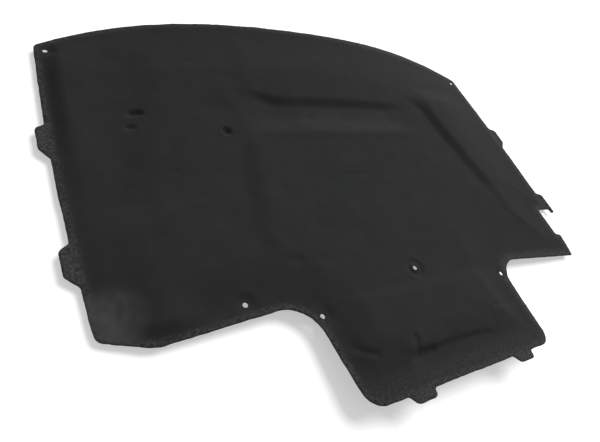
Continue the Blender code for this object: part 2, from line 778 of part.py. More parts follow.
def guide_points(body_corners, trim):
    """Facet corners that follow the rim, the steep slope, the relief and the clip seats."""
    guides = []
    for hole in clip_holes():
        guides.extend(circle(hole, CLIP_SEAT_RADIUS, HOLE_SEGMENTS))
        guides.extend(circle(hole, CLIP_SEAT_RADIUS + CLIP_SEAT_SLOPE, HOLE_SEGMENTS))
    for line in dimple_lines():
        guides.extend([*line, *circle(line[0], DIMPLE_RADIUS, HOLE_SEGMENTS // 2)])
        guides.extend(circle(line[1], DIMPLE_RADIUS, HOLE_SEGMENTS // 2))
    for share in SLOPE_ROWS:
        guides.extend(subdivided(inset_loop(body_corners, RIM_WIDTH + STEEP_SLOPE * share), EDGE_STEP))
    guides.extend(relief_rows())
    guides = np.array([tuple(point) for point in guides])
    return guides[clear_of_edge(guides, trim)]


def clear_of_edge(points, trim):
    """Which points lie inside the outline and clear of its edge."""
    return inside_loop(points, trim) & (distance_to_loop(points, trim) > EDGE_CLEARANCE)


def back_points(body_corners, trim, rims):
    """Facet corners of the hood side: the clip seats, the swell's foot and top, and an even grid."""
    seats = []
    for hole in clip_holes():
        seats.extend(circle(hole, CLIP_SEAT_RADIUS, HOLE_SEGMENTS))
    seats = [point for point in seats if clear_of_edge(point[None], trim)[0]]
    swell = []
    for share in BACK_ROWS:
        swell.extend(subdivided(inset_loop(body_corners, RIM_WIDTH + BACK_SLOPE * share), BACK_EDGE_STEP))
    swell = [point for point in swell if clear_of_edge(point[None], trim)[0]]
    swell = thinned(swell, np.vstack([trim, rims, seats]), FIELD_CLEARANCE)
    grid = staggered_grid(trim, BACK_STEP)
    grid = grid[distance_to_loop(grid, trim) > BACK_CLEARANCE]
    return seats + swell + thinned(grid, np.vstack([rims, seats, swell]), BACK_CLEARANCE)


def triangulated(trim, loose):
    """Triangles over the outline with its clip holes left open, and how its loops run."""
    rims = [circle(hole, CLIP_HOLE_RADIUS, HOLE_SEGMENTS) for hole in clip_holes()]
    loops, points, edges = [], [], []
    for loop in (trim, *rims):
        first = len(points)
        points.extend(loop)
        loops.append(list(range(first, len(points))))
        edges.extend(zip(loops[-1], [*loops[-1][1:], first]))
    points.extend(loose)
    cut = delaunay_2d_cdt([tuple(map(float, point)) for point in points], edges, [], 1, SNAP)
    flat = np.array([tuple(point) for point in cut[0]])
    faces = []
    for face in cut[2]:
        middle = flat[list(face)].mean(axis=0)
        if all(np.linalg.norm(middle - hole) > CLIP_HOLE_RADIUS for hole in clip_holes()):
            faces.append(tuple(face))
    origin = {old: new for new, olds in enumerate(cut[3]) for old in olds}
    return flat, faces, [[origin[index] for index in loop] for loop in loops]


def pressed_pad():
    """The pad's mesh: pressed top, swelling back and the cut edges between them."""
    body_corners = outline_corners(with_tabs=False)
    body = rounded(body_corners)
    trim = subdivided(rounded(outline_corners(with_tabs=True)), EDGE_STEP)
    rims = np.vstack([circle(hole, CLIP_HOLE_RADIUS, HOLE_SEGMENTS) for hole in clip_holes()])

    guides = thinned(guide_points(body_corners, trim), np.vstack([trim, rims]), GUIDE_CLEARANCE)
    field = staggered_grid(trim, FIELD_STEP)
    top_points = guides + thinned(field, np.vstack([trim, rims, guides]), FIELD_CLEARANCE)

    middle_y = 0.5 * (REAR_RISE + tongue_end() - END_TAB_REACH)
    mesh = bmesh.new()
    rows = []
    for loose, is_top in ((top_points, True), (back_points(body_corners, trim, rims), False)):
        flat, faces, loops = triangulated(trim, loose)
        heights = surface(flat, body, is_top)
        made = [mesh.verts.new((x, y - middle_y, z)) for (x, y), z in zip(flat, heights)]
        for face in faces:
            a, b, c = (made[index] for index in face)
            upward = (b.co - a.co).cross(c.co - a.co).z > 0.0
            mesh.faces.new((a, b, c) if upward == is_top else (a, c, b))
        rows.append([[made[index] for index in loop] for loop in loops])
    for top_loop, back_loop in zip(*rows):
        for index in range(len(top_loop)):
            following = (index + 1) % len(top_loop)
            mesh.faces.new((top_loop[index], top_loop[following], back_loop[following], back_loop[index]))
    bmesh.ops.recalc_face_normals(mesh, faces=mesh.faces)
    return mesh


def felt_material():
    """Black needled felt."""
    material = bpy.data.materials.new("black_felt")
    material.use_nodes = True
    shader = material.node_tree.nodes["Principled BSDF"]
    shader.inputs["Base Color"].default_value = FELT_COLOUR
    shader.inputs["Roughness"].default_value = FELT_ROUGHNESS
    shader.inputs["Metallic"].default_value = 0.0
    material.diffuse_color = FELT_COLOUR
    return material


def main():
    """Clears the scene and builds the pad."""
    for old in list(bpy.data.objects):
        bpy.data.objects.remove(old)
    shape = bpy.data.meshes.new("insulation_pad")
    mesh = pressed_pad()
    mesh.to_mesh(shape)
    mesh.free()
    shape.shade_smooth()
    shape.set_sharp_from_angle(angle=SHARP_ANGLE)
    shape.materials.append(felt_material())
    pad = bpy.data.objects.new("insulation_pad", shape)
    bpy.context.scene.collection.objects.link(pad)


if __name__ == "__main__":
    main()
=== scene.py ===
"""Studio view of a moulded hood insulation pad of black needled felt.

The pad lies engine side up on a pale table. Its surface is pressed again here from the same sizes as
the solid, on a much finer net of facets, with the soft unevenness, creases and cut edges of real felt.
Everything is in metres: X across the car, Y towards the windscreen, Z up.
"""

import logging
import math
from dataclasses import dataclass, field
from enum import Enum
from typing import Callable, NamedTuple

import bpy
import numpy as np
from mathutils import Matrix, Vector, noise
from mathutils.geometry import delaunay_2d_cdt


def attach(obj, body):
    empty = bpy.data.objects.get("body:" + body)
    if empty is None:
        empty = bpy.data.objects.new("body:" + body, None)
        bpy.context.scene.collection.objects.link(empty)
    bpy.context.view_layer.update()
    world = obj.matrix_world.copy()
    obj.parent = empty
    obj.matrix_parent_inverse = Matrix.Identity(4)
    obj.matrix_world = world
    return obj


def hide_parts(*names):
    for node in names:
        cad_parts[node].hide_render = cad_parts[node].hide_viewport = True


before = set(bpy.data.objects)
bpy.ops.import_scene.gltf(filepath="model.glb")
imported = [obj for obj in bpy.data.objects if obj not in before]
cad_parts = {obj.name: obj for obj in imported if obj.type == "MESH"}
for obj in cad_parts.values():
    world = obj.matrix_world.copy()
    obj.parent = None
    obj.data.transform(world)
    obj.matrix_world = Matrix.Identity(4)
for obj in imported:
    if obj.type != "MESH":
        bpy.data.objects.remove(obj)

LOG = logging.getLogger("hood_pad")
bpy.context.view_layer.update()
NODE = "insulation_pad"
BODY = "root"
CENTRE_CLIP = 4
STRAIGHT_ANGLE = math.radians(179.6)
LONGEST_TANGENT = 0.49
MERGE_DISTANCE = 1e-7
KEEP_INSIDE = 1
WHITE = (1.0, 1.0, 1.0, 1.0)

Pair = tuple[float, float]
Spot = tuple[float, float, float]
Colour = tuple[float, float, float, float]
Sides = tuple[np.ndarray, np.ndarray]


class Corner(NamedTuple):
    """A corner of the outline and the radius that rounds it."""

    x: float
    y: float
    round: float = 0.0


class Stroke(NamedTuple):
    """A dent, a dash or a painted highlight streak across the felt, level with the drafting X axis."""

    x: float
    station: float
    half_length: float
    radius: float
    depth: float = 0.0

    def line(self) -> np.ndarray:
        """The short line that the stroke follows."""
        ends = (self.x - self.half_length, self.x + self.half_length)
        return np.array([(x, -self.station) for x in ends])


class PadMark(Enum):
    """Mesh attributes for the finish: press, knife, a lighter patch and a painted highlight."""

    PRESSED = "pressed"
    CUT = "cut"
    # Lighter patch at the left wing's corner, and a painted highlight on the trough's front side.
    LIGHT_PATCH_AND_HIGHLIGHT = "scuffed"


def ease(t: np.ndarray) -> np.ndarray:
    """Smooth step from 0 to 1 as t runs from 0 to 1."""
    t = np.clip(t, 0.0, 1.0)
    return t * t * (3.0 - 2.0 * t)


def wall(past: np.ndarray, width: float | np.ndarray) -> np.ndarray:
    """Smooth wall of the given width, half way up where past is zero."""
    return ease(past / width + 0.5)


def mound(away: np.ndarray, radius: float) -> np.ndarray:
    """Smooth mound from 1 at its middle to 0 at its radius."""
    return ease(1.0 - away / radius)


def rounded(corners: list[Corner], segments: int) -> np.ndarray:
    """Turns each corner of a closed outline into an arc of its own radius.

    Args:
        corners: The outline's corners in order.
        segments: How many straight pieces an arc gets.

    Returns:
        The outline's points, one row each.
    """
    points = []
    for before, corner, after in zip([corners[-1], *corners[:-1]], corners, [*corners[1:], corners[0]]):
        centre = np.array(corner[:2])
        towards = [np.array(other[:2]) - centre for other in (before, after)]
        lengths = [np.linalg.norm(way) for way in towards]
        first, second = (way / length for way, length in zip(towards, lengths))
        angle = math.acos(float(np.clip(first @ second, -1.0, 1.0)))
        if corner.round == 0.0 or angle > STRAIGHT_ANGLE:
            points.append(centre)
            continue
        tangent = min(corner.round / math.tan(angle / 2), LONGEST_TANGENT * min(lengths))
        radius = tangent * math.tan(angle / 2)
        inward = (first + second) / np.linalg.norm(first + second)
        middle = centre + inward * radius / math.sin(angle / 2)
        start = centre + first * tangent - middle
        turn = math.copysign(math.pi - angle, start[1] * first[0] - start[0] * first[1])
        for step in range(segments + 1):
            turned = turn * step / segments
            cosine, sine = math.cos(turned), math.sin(turned)
            x, y = start
            points.append(middle + (x * cosine - y * sine, x * sine + y * cosine))
    return np.array(points)


def subdivided(loop: np.ndarray, longest: float) -> np.ndarray:
    """Divides the sides of a closed loop.

    Args:
        loop: The loop's points.
        longest: The longest side that stays whole.

    Returns:
        The loop with more points and the same course.
    """
    points = []
    for start, end in zip(loop, np.roll(loop, -1, axis=0)):
        count = max(1, math.ceil(np.linalg.norm(end - start) / longest))
        points.extend(start + (end - start) * step / count for step in range(count))
    return np.array(points)


def distance_to_sides(points: np.ndarray, starts: np.ndarray, ends: np.ndarray) -> np.ndarray:
    """Measures how far points are from the nearest of some sides.

    Args:
        points: The points.
        starts: Where each side starts.
        ends: Where each side ends.

    Returns:
        One distance for each point.
    """
    nearest = np.full(len(points), np.inf)
    for start, end in zip(starts, ends):
        side = end - start
        share = np.clip(((points - start) @ side) / (side @ side), 0.0, 1.0)
        nearest = np.minimum(nearest, np.linalg.norm(points - start - share[:, None] * side, axis=1))
    return nearest


def distance_to_line(points: np.ndarray, line: np.ndarray) -> np.ndarray:
    """Distance of each point from an open line's segments."""
    return distance_to_sides(points, line[:-1], line[1:])


def distance_to_loop(points: np.ndarray, loop: np.ndarray) -> np.ndarray:
    """Distance of each point from a closed loop's sides."""
    return distance_to_sides(points, loop, np.roll(loop, -1, axis=0))


def inside_loop(points: np.ndarray, loop: np.ndarray) -> np.ndarray:
    """Tells which points lie inside a closed loop.

    Args:
        points: The points.
        loop: The loop's points.

    Returns:
        One truth value for each point.
    """
    inside = np.zeros(len(points), bool)
    for start, end in zip(loop, np.roll(loop, -1, axis=0)):
        if start[1] == end[1]:
            continue
        crosses = (start[1] > points[:, 1]) != (end[1] > points[:, 1])
        at = start[0] + (points[:, 1] - start[1]) * (end[0] - start[0]) / (end[1] - start[1])
        inside ^= crosses & (points[:, 0] < at)
    return inside


def circle(centre: np.ndarray, radius: float, segments: int) -> np.ndarray:
    """Points of a circle."""
    angles = 2.0 * math.pi * np.arange(segments) / segments
    return centre + radius * np.stack([np.cos(angles), np.sin(angles)], axis=1)


def drawn_in(loop: np.ndarray, inset: float) -> np.ndarray:
    """Moves a loop towards its material, which lies on the right of the way that the loop runs.

    Args:
        loop: The loop's points.
        inset: How far each point moves.

    Returns:
        The moved loop.
    """
    way = np.roll(loop, -1, axis=0) - np.roll(loop, 1, axis=0)
    way /= np.linalg.norm(way, axis=1)[:, None]
    return loop + inset * np.stack([way[:, 1], -way[:, 0]], axis=1)


@dataclass(frozen=True)
class FeltBlank:
    """The flat blank: its outline, tuck-in tabs, cut-out and clip holes, drafted from the rear corners."""

    rear_half_width: float = 0.633
    rear_rise: float = 0.089
    rear_fullness: float = 3.55
    rear_overrun: float = 0.0195
    rear_corner_round: float = 0.012
    rear_segments: int = 88

    side_length: float = 0.6455
    side_bow: float = 0.0095
    side_segments: int = 12
    wing_half_width: float = 0.6325
    wing_corner_round: float = 0.0170
    wing_belly_inset: float = 0.0815
    wing_belly_drop: float = 0.031
    wing_belly_round: float = 0.080
    wing_root_drop: float = 0.014

    tongue_root_half_width: float = 0.2745
    tongue_end_half_width: float = 0.252
    tongue_length: float = 0.2135
    tongue_bend_round: float = 0.0665
    tongue_corner_round: float = 0.0385

    rear_tab_start: float = 0.210
    front_tab_setback: float = 0.093
    side_tab_length: float = 0.0815
    side_tab_reach: float = 0.0185
    side_tab_rear_taper: float = 0.0125
    side_tab_front_taper: float = 0.0210
    end_tab_centre: float = 0.144
    end_tab_width: float = 0.0575
    end_tab_reach: float = 0.017
    end_tab_taper: float = 0.006
    tab_round: float = 0.012
    tab_root_round: float = 0.009

    cutout_length: float = 0.085
    cutout_depth: float = 0.045
    cutout_shoulder: float = 0.0215
    hooked_tab_length: float = 0.059
    hook_drop: float = 0.0145
    hook_width: float = 0.0115
    hook_round: float = 0.0055
    right_tip_inset: float = 0.032
    right_tip_drop: float = 0.0385
    right_tip_round: float = 0.007

    clip_hole_radius: float = 0.0050
    corner_clip_inset: float = 0.020
    corner_clip_setback: float = 0.008
    tongue_clip_inset: float = 0.017
    tongue_clip_setback: float = 0.0335
    centre_clip_setback: float = 0.0185
    wing_clip_offset: float = 0.390
    wing_clip_setback: float = 0.0205

    arc_segments: int = 10

    @property
    def wing_root(self) -> float:
        """Drafting height at which a wing's front edge meets the tongue."""
        return -self.side_length - self.wing_root_drop

    @property
    def tongue_end(self) -> float:
        """Drafting height of the tongue's end, without its tabs."""
        return self.wing_root - self.tongue_length

    @property
    def front_tab_start(self) -> float:
        """Distance from the corner line to the rear end of the front side tabs."""
        return self.side_length - self.front_tab_setback - self.side_tab_length

    @property
    def cutout_top(self) -> float:
        """Drafting height of the cut-out's rear end, where the hooked tab stops."""
        return -self.front_tab_start - self.hooked_tab_length

    @property
    def middle(self) -> np.ndarray:
        """The drafting point that lies over the part's origin."""
        return np.array([0.0, 0.5 * (self.rear_rise + self.tongue_end - self.end_tab_reach)])

    def side_half_width(self, y: np.ndarray) -> np.ndarray:
        """Finds the half width of the pad without its tabs.

        Args:
            y: Drafting heights.

        Returns:
            One half width for each height.
        """
        share = np.clip(-y / self.side_length, 0.0, 1.0)
        straight = self.rear_half_width + (self.wing_half_width - self.rear_half_width) * share
        return straight + self.side_bow * 4.0 * share * (1.0 - share)

    def rear_edge(self, x: float) -> float:
        """Drafting height of the rear edge at x."""
        reach = self.rear_half_width + self.rear_overrun
        return self.rear_rise * (1.0 - (abs(x) / reach) ** self.rear_fullness)

    def side_corner(self, y: float, sign: int, round_by: float = 0.0) -> Corner:
        """A corner on one side's bowed edge."""
        return Corner(sign * float(self.side_half_width(y)), y, round_by)

    def side_tab(self, start: float, sign: int) -> list[Corner]:
        """Drafts one tapered side tab.

        Args:
            start: Distance from the corner line to its rear end.
            sign: 1 on the right side and -1 on the left.

        Returns:
            Its corners, rear end first.
        """
        root_end = start + self.side_tab_length
        tip = float(self.side_half_width(-start)) + self.side_tab_reach
        return [
            self.side_corner(-start, sign, self.tab_root_round),
            Corner(sign * tip, -start - self.side_tab_rear_taper, self.tab_round),
            Corner(sign * tip, -root_end + self.side_tab_front_taper, self.tab_round),
            self.side_corner(-root_end, sign, self.tab_root_round),
        ]

    def hooked_tab(self) -> list[Corner]:
        """Drafts the right-hand tab whose free end hooks over the cut-out.

        Returns:
            Its corners, rear end first.
        """
        start = self.front_tab_start
        tip = float(self.side_half_width(-start)) + self.side_tab_reach
        hook_end = self.cutout_top - self.hook_drop
        return [
            self.side_corner(-start, 1, self.tab_root_round),
            Corner(tip, -start - self.side_tab_rear_taper, self.tab_round),
            Corner(tip, hook_end, self.hook_round),
            Corner(tip - self.hook_width, hook_end, self.hook_round),
            Corner(tip - self.hook_width, self.cutout_top, self.hook_round),
        ]

    def end_tab(self, sign: int) -> list[Corner]:
        """Drafts one tab on the tongue's end.

        Args:
            sign: 1 for the right tab and -1 for the left.

        Returns:
            Its corners, outer end first.
        """
        root = self.end_tab_width / 2
        tip = root - self.end_tab_taper
        reach = self.tongue_end - self.end_tab_reach
        return [
            Corner(sign * (self.end_tab_centre + root), self.tongue_end, self.tab_root_round),
            Corner(sign * (self.end_tab_centre + tip), reach, self.tab_round),
            Corner(sign * (self.end_tab_centre - tip), reach, self.tab_round),
            Corner(sign * (self.end_tab_centre - root), self.tongue_end, self.tab_root_round),
        ]

    def cutout(self) -> list[Corner]:
        """Drafts the right-hand cut-out.

        Returns:
            Its corners, from its rear end to the wing's shoulder.
        """
        inner = float(self.side_half_width(self.cutout_top)) - self.cutout_depth
        bottom = self.cutout_top - self.cutout_length
        return [
            Corner(inner, self.cutout_top, self.tab_root_round),
            Corner(inner, bottom, self.tab_root_round),
            Corner(inner + self.cutout_shoulder, bottom, self.tab_root_round),
        ]

    def bowed_side(self, start: float, end: float, sign: int) -> list[Corner]:
        """Corners along one bowed side between two drafting heights, ends left out."""
        heights = np.linspace(start, end, self.side_segments + 1)[1:-1]
        return [self.side_corner(float(y), sign) for y in heights]

    def corners(self, with_tabs: bool) -> list[Corner]:
        """Corners of the whole outline, clockwise from above.

        Args:
            with_tabs: Whether the tuck-in tabs are on, as on the trimmed blank.

        Returns:
            The corners, beginning at the left end of the rear edge.
        """
        across = np.linspace(-self.rear_half_width, self.rear_half_width, self.rear_segments + 1)[1:-1]
        rear = [Corner(float(x), self.rear_edge(x)) for x in across]
        corner_height = self.rear_edge(self.rear_half_width)
        belly_x = self.wing_half_width - self.wing_belly_inset
        belly = Corner(-belly_x, -self.side_length - self.wing_belly_drop, self.wing_belly_round)
        tip_x = self.wing_half_width - self.right_tip_inset
        front_start, front_end = self.front_tab_start, self.front_tab_start + self.side_tab_length
        rear_start, rear_end = self.rear_tab_start, self.rear_tab_start + self.side_tab_length

        loop = [*rear, Corner(self.rear_half_width, corner_height, self.rear_corner_round)]
        if with_tabs:
            loop += [*self.bowed_side(0.0, -rear_start, 1), *self.side_tab(rear_start, 1)]
            loop += [*self.bowed_side(-rear_end, -front_start, 1), *self.hooked_tab()]
        else:
            loop += self.bowed_side(0.0, self.cutout_top, 1)
            loop.append(self.side_corner(self.cutout_top, 1, self.tab_root_round))
        loop += self.cutout()
        loop.append(Corner(tip_x, -self.side_length - self.right_tip_drop, self.right_tip_round))
        loop.append(Corner(self.tongue_root_half_width, self.wing_root, self.tongue_bend_round))
        loop.append(Corner(self.tongue_end_half_width, self.tongue_end, self.tongue_corner_round))
        if with_tabs:
            loop += [*self.end_tab(1), *reversed(self.end_tab(-1))]
        loop.append(Corner(-self.tongue_end_half_width, self.tongue_end, self.tongue_corner_round))
        loop.append(Corner(-self.tongue_root_half_width, self.wing_root, self.tongue_bend_round))
        loop += [belly, Corner(-self.wing_half_width, -self.side_length, self.wing_corner_round)]
        if with_tabs:
            loop += reversed(self.side_tab(front_start, -1))
            loop += reversed(self.bowed_side(-rear_end, -front_start, -1))
            loop += reversed(self.side_tab(rear_start, -1))
            loop += reversed(self.bowed_side(0.0, -rear_start, -1))
        else:
            loop += reversed(self.bowed_side(0.0, -self.side_length, -1))
        loop.append(Corner(-self.rear_half_width, corner_height, self.rear_corner_round))
        return loop

    def outline(self, with_tabs: bool) -> np.ndarray:
        """Points of the rounded outline."""
        return rounded(self.corners(with_tabs), self.arc_segments)

    def clip_holes(self) -> np.ndarray:
        """Places the clip holes.

        Returns:
            Their centres: rear left and right, tongue left and right, centre, left wing.
        """
        corner_x = self.rear_half_width - self.corner_clip_inset
        tongue_x = self.tongue_root_half_width - self.tongue_clip_inset
        return np.array([
            (-corner_x, -self.corner_clip_setback),
            (corner_x, -self.corner_clip_setback),
            (-tongue_x, self.wing_root - self.tongue_clip_setback),
            (tongue_x, self.wing_root - self.tongue_clip_setback),
            (0.0, self.wing_root + self.centre_clip_setback),
            (-self.wing_clip_offset, self.wing_root + self.wing_clip_setback),
        ])


@dataclass(frozen=True)
class Arch:
    """How the pad curves across the car, and how it stands on the table."""

    rear: float = 0.054
    middle: float = 0.0135
    front: float = 0.045
    rim_level: float = 0.011
    back_swell: float = 0.0145
    back_slope: float = 0.036
    tab_lift: float = 0.002

    def height(self, points: np.ndarray, blank: FeltBlank) -> np.ndarray:
        """Finds the height of the rim's underside, as an arch that springs from the two sides.

        Args:
            points: Drafting points.
            blank: The pad's blank.

        Returns:
            One height over the table for each point.
        """
        rear, front = blank.rear_rise, blank.tongue_end
        share = (rear - points[:, 1]) / (rear - front)
        weights = ((1 - share) * (1 - 2 * share), 4 * share * (1 - share), share * (2 * share - 1))
        rise = sum(w * height for w, height in zip(weights, (self.rear, self.middle, self.front)))
        across = points[:, 0] / blank.side_half_width(points[:, 1])
        return self.rim_level + rise * np.clip(1.0 - across**2, 0.0, None)

    def lift(self, points: np.ndarray, blank: FeltBlank) -> np.ndarray:
        """Finds how far the tabs turn up beyond the pad's edge.

        Args:
            points: Drafting points.
            blank: The pad's blank.

        Returns:
            One rise for each point.
        """
        past_side = np.abs(points[:, 0]) - blank.side_half_width(points[:, 1])
        past_end = blank.tongue_end - points[:, 1]
        turned = ease(past_side / blank.side_tab_reach) + ease(past_end / blank.end_tab_reach)
        return self.tab_lift * turned


@dataclass(frozen=True)
class PressedRelief:
    """The forms that the press leaves in the padded field."""

    rim_thickness: float = 0.0035
    rim_width: float = 0.005
    field_thickness: float = 0.0135
    field_slope: float = 0.110
    rear_slope: float = 0.170
    right_slope: float = 0.230
    right_slope_start: float = 0.120
    right_slope_reach: float = 0.200
    left_rim_width: float = 0.011
    steep_slope: float = 0.034
    steep_fade_station: float = 0.120
    steep_fade_length: float = 0.350
    steep_end_share: float = 0.20
    corner_slope: float = 0.140
    corner_slope_reach: float = 0.170
    rear_slope_run: float = 1 / 3
    rear_left_share: float = 0.62
    rear_left_reach: float = 0.240
    steep_facing: float = 0.85
    tongue_steep_slope: float = 0.050
    belly_slope: float = 0.034
    belly_start: float = 0.5
    belly_middle: float = 0.535
    belly_reach: float = 0.080
    clip_seat_radius: float = 0.0060
    clip_seat_slope: float = 0.020
    clip_seat_thickness: float = 0.0024
    centre_seat_lift: float = 0.0112
    centre_seat_back_slope: float = 0.050

    rim_mark_slope: float = 0.012
    right_mark_slope: float = 0.024
    flange_mark: float = 0.42
    flange_mark_setback: float = 0.040
    flange_mark_slope: float = 0.040
    # A lighter patch of colour at the left wing's corner.
    light_patch_inset: float = 0.030
    light_patch_setback: float = 0.030
    light_patch_radius: float = 0.042
    light_patch_slope: float = 0.050
    # A painted highlight: a lighter streak on the trough's front side, which faces the lamp.
    highlight_streak: Stroke = Stroke(0.070, 0.205, 0.140, 0.065)
    highlight_streak_share: float = 0.17

    flap_press: float = 0.45
    flap_deep_press: float = 0.35
    flap_deep_x: float = -0.095
    flap_deep_reach: float = 0.045
    flap_setback: float = 0.061
    flap_sag: float = 0.007
    flap_wall: float = 0.012
    flap_soft_wall: float = 0.110
    flap_left: float = -0.135
    flap_right: float = 0.105
    flap_end_slope: float = 0.030

    flank_rise: float = 0.0120
    flank_front_rise: float = 0.0028
    flank_rear_inset: float = 0.292
    flank_front_inset: float = 0.155
    flank_sweep: float = 1.4
    flank_fall: float = 1.6
    flank_wall_width: float = 0.046
    flank_soft_wall: float = 0.130
    flank_soft_station: float = 0.175
    flank_rear_station: float = 0.105
    flank_front_setback: float = 0.030
    flank_end_slope: float = 0.080

    valley_depth: float = 0.0072
    valley_inset: float = 0.166
    valley_lean: float = 0.210
    valley_ramp: float = 0.130
    valley_wall: float = 0.085
    valley_rear_station: float = 0.010
    valley_front_station: float = 0.440
    valley_end_slope: float = 0.080

    trough_depth: float = 0.0082
    trough_rear_station: float = 0.156
    trough_front_station: float = 0.228
    trough_rear_wall: float = 0.032
    trough_bend: float = 0.018
    trough_bend_start: float = -0.120
    trough_bend_reach: float = 0.110
    trough_front_wall: float = 0.056
    trough_left_end: float = -0.200
    trough_right_end: float = 0.235
    trough_left_slope: float = 0.110
    trough_right_slope: float = 0.160
    trough_lip: float = 0.0010
    trough_lip_setback: float = 0.028
    trough_lip_half_width: float = 0.024

    ridge_height: float = 0.0052
    ridge_left_slope: float = 0.048
    ridge_right_slope: float = 0.045
    ridge_right_drop: float = 0.26
    ridge_fade: float = 0.150
    ridge_offset: float = 0.200
    ridge_lean: float = 0.215
    ridge_start: float = 0.120
    ridge_rear_station: float = 0.260
    ridge_rear_slope: float = 0.100
    ridge_front_setback: float = 0.125
    ridge_front_slope: float = 0.130
    step_share: float = 0.45
    step_station: float = 0.130
    hook_height: float = 0.0009
    hook_half_width: float = 0.024
    hook_radius: float = 0.040
    hook_reach: float = 0.055
    hook_segments: int = 8

    tongue_rise: float = 0.0040
    tongue_rise_setback: float = 0.020
    tongue_rise_wall: float = 0.034
    tongue_rise_half_width: float = 0.190
    tongue_rise_end_slope: float = 0.060

    crease_depth: float = 0.0028
    crease_half_width: float = 0.011
    short_crease_inset: float = 0.016
    short_crease_setback: float = 0.110
    short_crease_bend: Pair = (0.018, -0.015)
    short_crease_end: Pair = (0.039, -0.027)

    dimples: tuple[Stroke, ...] = (
        Stroke(-0.297, 0.249, 0.001, 0.0135, 0.0056),
        Stroke(-0.476, 0.193, 0.008, 0.0110, 0.0048),
        Stroke(-0.493, 0.229, 0.004, 0.0100, 0.0038),
    )
    dimple_wall: float = 0.010
    groove_offset: float = 0.107
    groove_setback: float = 0.074
    groove_half_width: float = 0.005
    groove_half_length: float = 0.018
    groove_radius: float = 0.010
    groove_depth: float = 0.0030
    dents: tuple[Stroke, ...] = (
        Stroke(-0.300, 0.190, 0.010, 0.045, 0.0022),
        Stroke(-0.322, 0.045, 0.006, 0.016, 0.0008),
        Stroke(-0.437, 0.349, 0.003, 0.015, 0.0010),
        Stroke(-0.396, 0.412, 0.004, 0.015, 0.0010),
        Stroke(-0.010, 0.381, 0.022, 0.010, 0.0009),
        Stroke(-0.168, 0.513, 0.010, 0.035, 0.0016),
        Stroke(-0.262, 0.577, 0.004, 0.018, 0.0014),
        Stroke(0.184, 0.765, 0.034, 0.010, 0.0030),
        Stroke(-0.098, 0.8135, 0.020, 0.018, 0.0060),
        Stroke(-0.234, 0.761, 0.004, 0.030, 0.0030),
    )

    def sides(self, body: np.ndarray, blank: FeltBlank) -> list[Sides]:
        """Sorts the outline's sides.

        Args:
            body: The outline without its tabs.
            blank: The pad's blank.

        Returns:
            Starts and ends of the left side, of the tongue's left side and of the rest.
        """
        ends = np.roll(body, -1, axis=0)
        way = ends - body
        facing = way[:, 1] > self.steep_facing * np.linalg.norm(way, axis=1)
        outer = body[:, 0] < -blank.tongue_root_half_width
        return [(body[kept], ends[kept]) for kept in (facing & outer, facing & ~outer, ~facing)]

    @staticmethod
    def slope_up(points: np.ndarray, sides: Sides, rim: float, width: float | np.ndarray) -> np.ndarray:
        """From 0 on the rim beside some of the outline's sides to 1 beyond the slope there."""
        return ease((distance_to_sides(points, *sides) - rim) / width)

    def at_right(self, points: np.ndarray) -> np.ndarray:
        """From 0 in the left part to 1 along the right side."""
        return ease((points[:, 0] - self.right_slope_start) / self.right_slope_reach)

    def left_share(self, points: np.ndarray, sides: Sides, blank: FeltBlank) -> np.ndarray:
        """Finds how far the padding has risen beside the left side, steeply at the rear.

        Args:
            points: Drafting points.
            sides: The starts and the ends of the left side's pieces.
            blank: The pad's blank.

        Returns:
            From 0 on the rim to 1 beyond the slope, one value for each point.
        """
        from_corner = np.linalg.norm(points + (blank.wing_half_width, blank.side_length), axis=1)
        at_corner = mound(from_corner, self.corner_slope_reach)
        wide = self.field_slope + (self.corner_slope - self.field_slope) * at_corner
        steep = self.slope_up(points, sides, self.left_rim_width, self.steep_slope)
        gentle = self.slope_up(points, sides, self.left_rim_width, wide)
        flatter = ease((-points[:, 1] - self.steep_fade_station) / self.steep_fade_length)
        return steep + (gentle - steep) * (1.0 - self.steep_end_share) * flatter

    def outer_share(self, points: np.ndarray, sides: Sides, blank: FeltBlank) -> np.ndarray:
        """Finds how far the padding has risen beside the other sides, steeply at the belly.

        Args:
            points: Drafting points.
            sides: The starts and the ends of the rear, the right and the front sides.
            blank: The pad's blank.

        Returns:
            From 0 on the rim to 1 beyond the slope, one value for each point.
        """
        run = np.clip(-points[:, 1] / blank.side_length, 0.0, 1.0)
        at_belly = mound(np.abs(points[:, 0] + self.belly_middle), self.belly_reach)
        at_belly *= ease((run - self.belly_start) / (1.0 - self.belly_start))
        from_rear = np.linalg.norm(points + (blank.rear_half_width, 0.0), axis=1)
        side_slope = self.field_slope + (self.right_slope - self.field_slope) * self.at_right(points)
        width = self.rear_slope + (side_slope - self.rear_slope) * ease(run / self.rear_slope_run)
        width *= 1.0 - self.rear_left_share * mound(from_rear, self.rear_left_reach)
        steep = self.slope_up(points, sides, self.rim_width, self.belly_slope)
        gentle = self.slope_up(points, sides, self.rim_width, width)
        return gentle + (steep - gentle) * at_belly

    def flap(self, points: np.ndarray, blank: FeltBlank) -> np.ndarray:
        """Finds how much of the padding is pressed flat beyond the flap line near the tongue's end.

        Args:
            points: Drafting points.
            blank: The pad's blank.

        Returns:
            The share that is gone, one value for each point.
        """
        x, length = points[:, 0], self.flap_right - self.flap_left
        within = wall(x - self.flap_left, self.flap_end_slope)
        within *= wall(self.flap_right - x, self.flap_end_slope)
        width = self.flap_soft_wall + (self.flap_wall - self.flap_soft_wall) * within
        from_middle = x - self.flap_left - length / 2
        sag = self.flap_sag * (1.0 - (2.0 * from_middle / length) ** 2)
        beyond = blank.tongue_end + self.flap_setback + np.maximum(sag, 0.0) - points[:, 1]
        deeper = self.flap_deep_press * mound(np.abs(x - self.flap_deep_x), self.flap_deep_reach)
        return (self.flap_press + deeper) * wall(beyond, width)

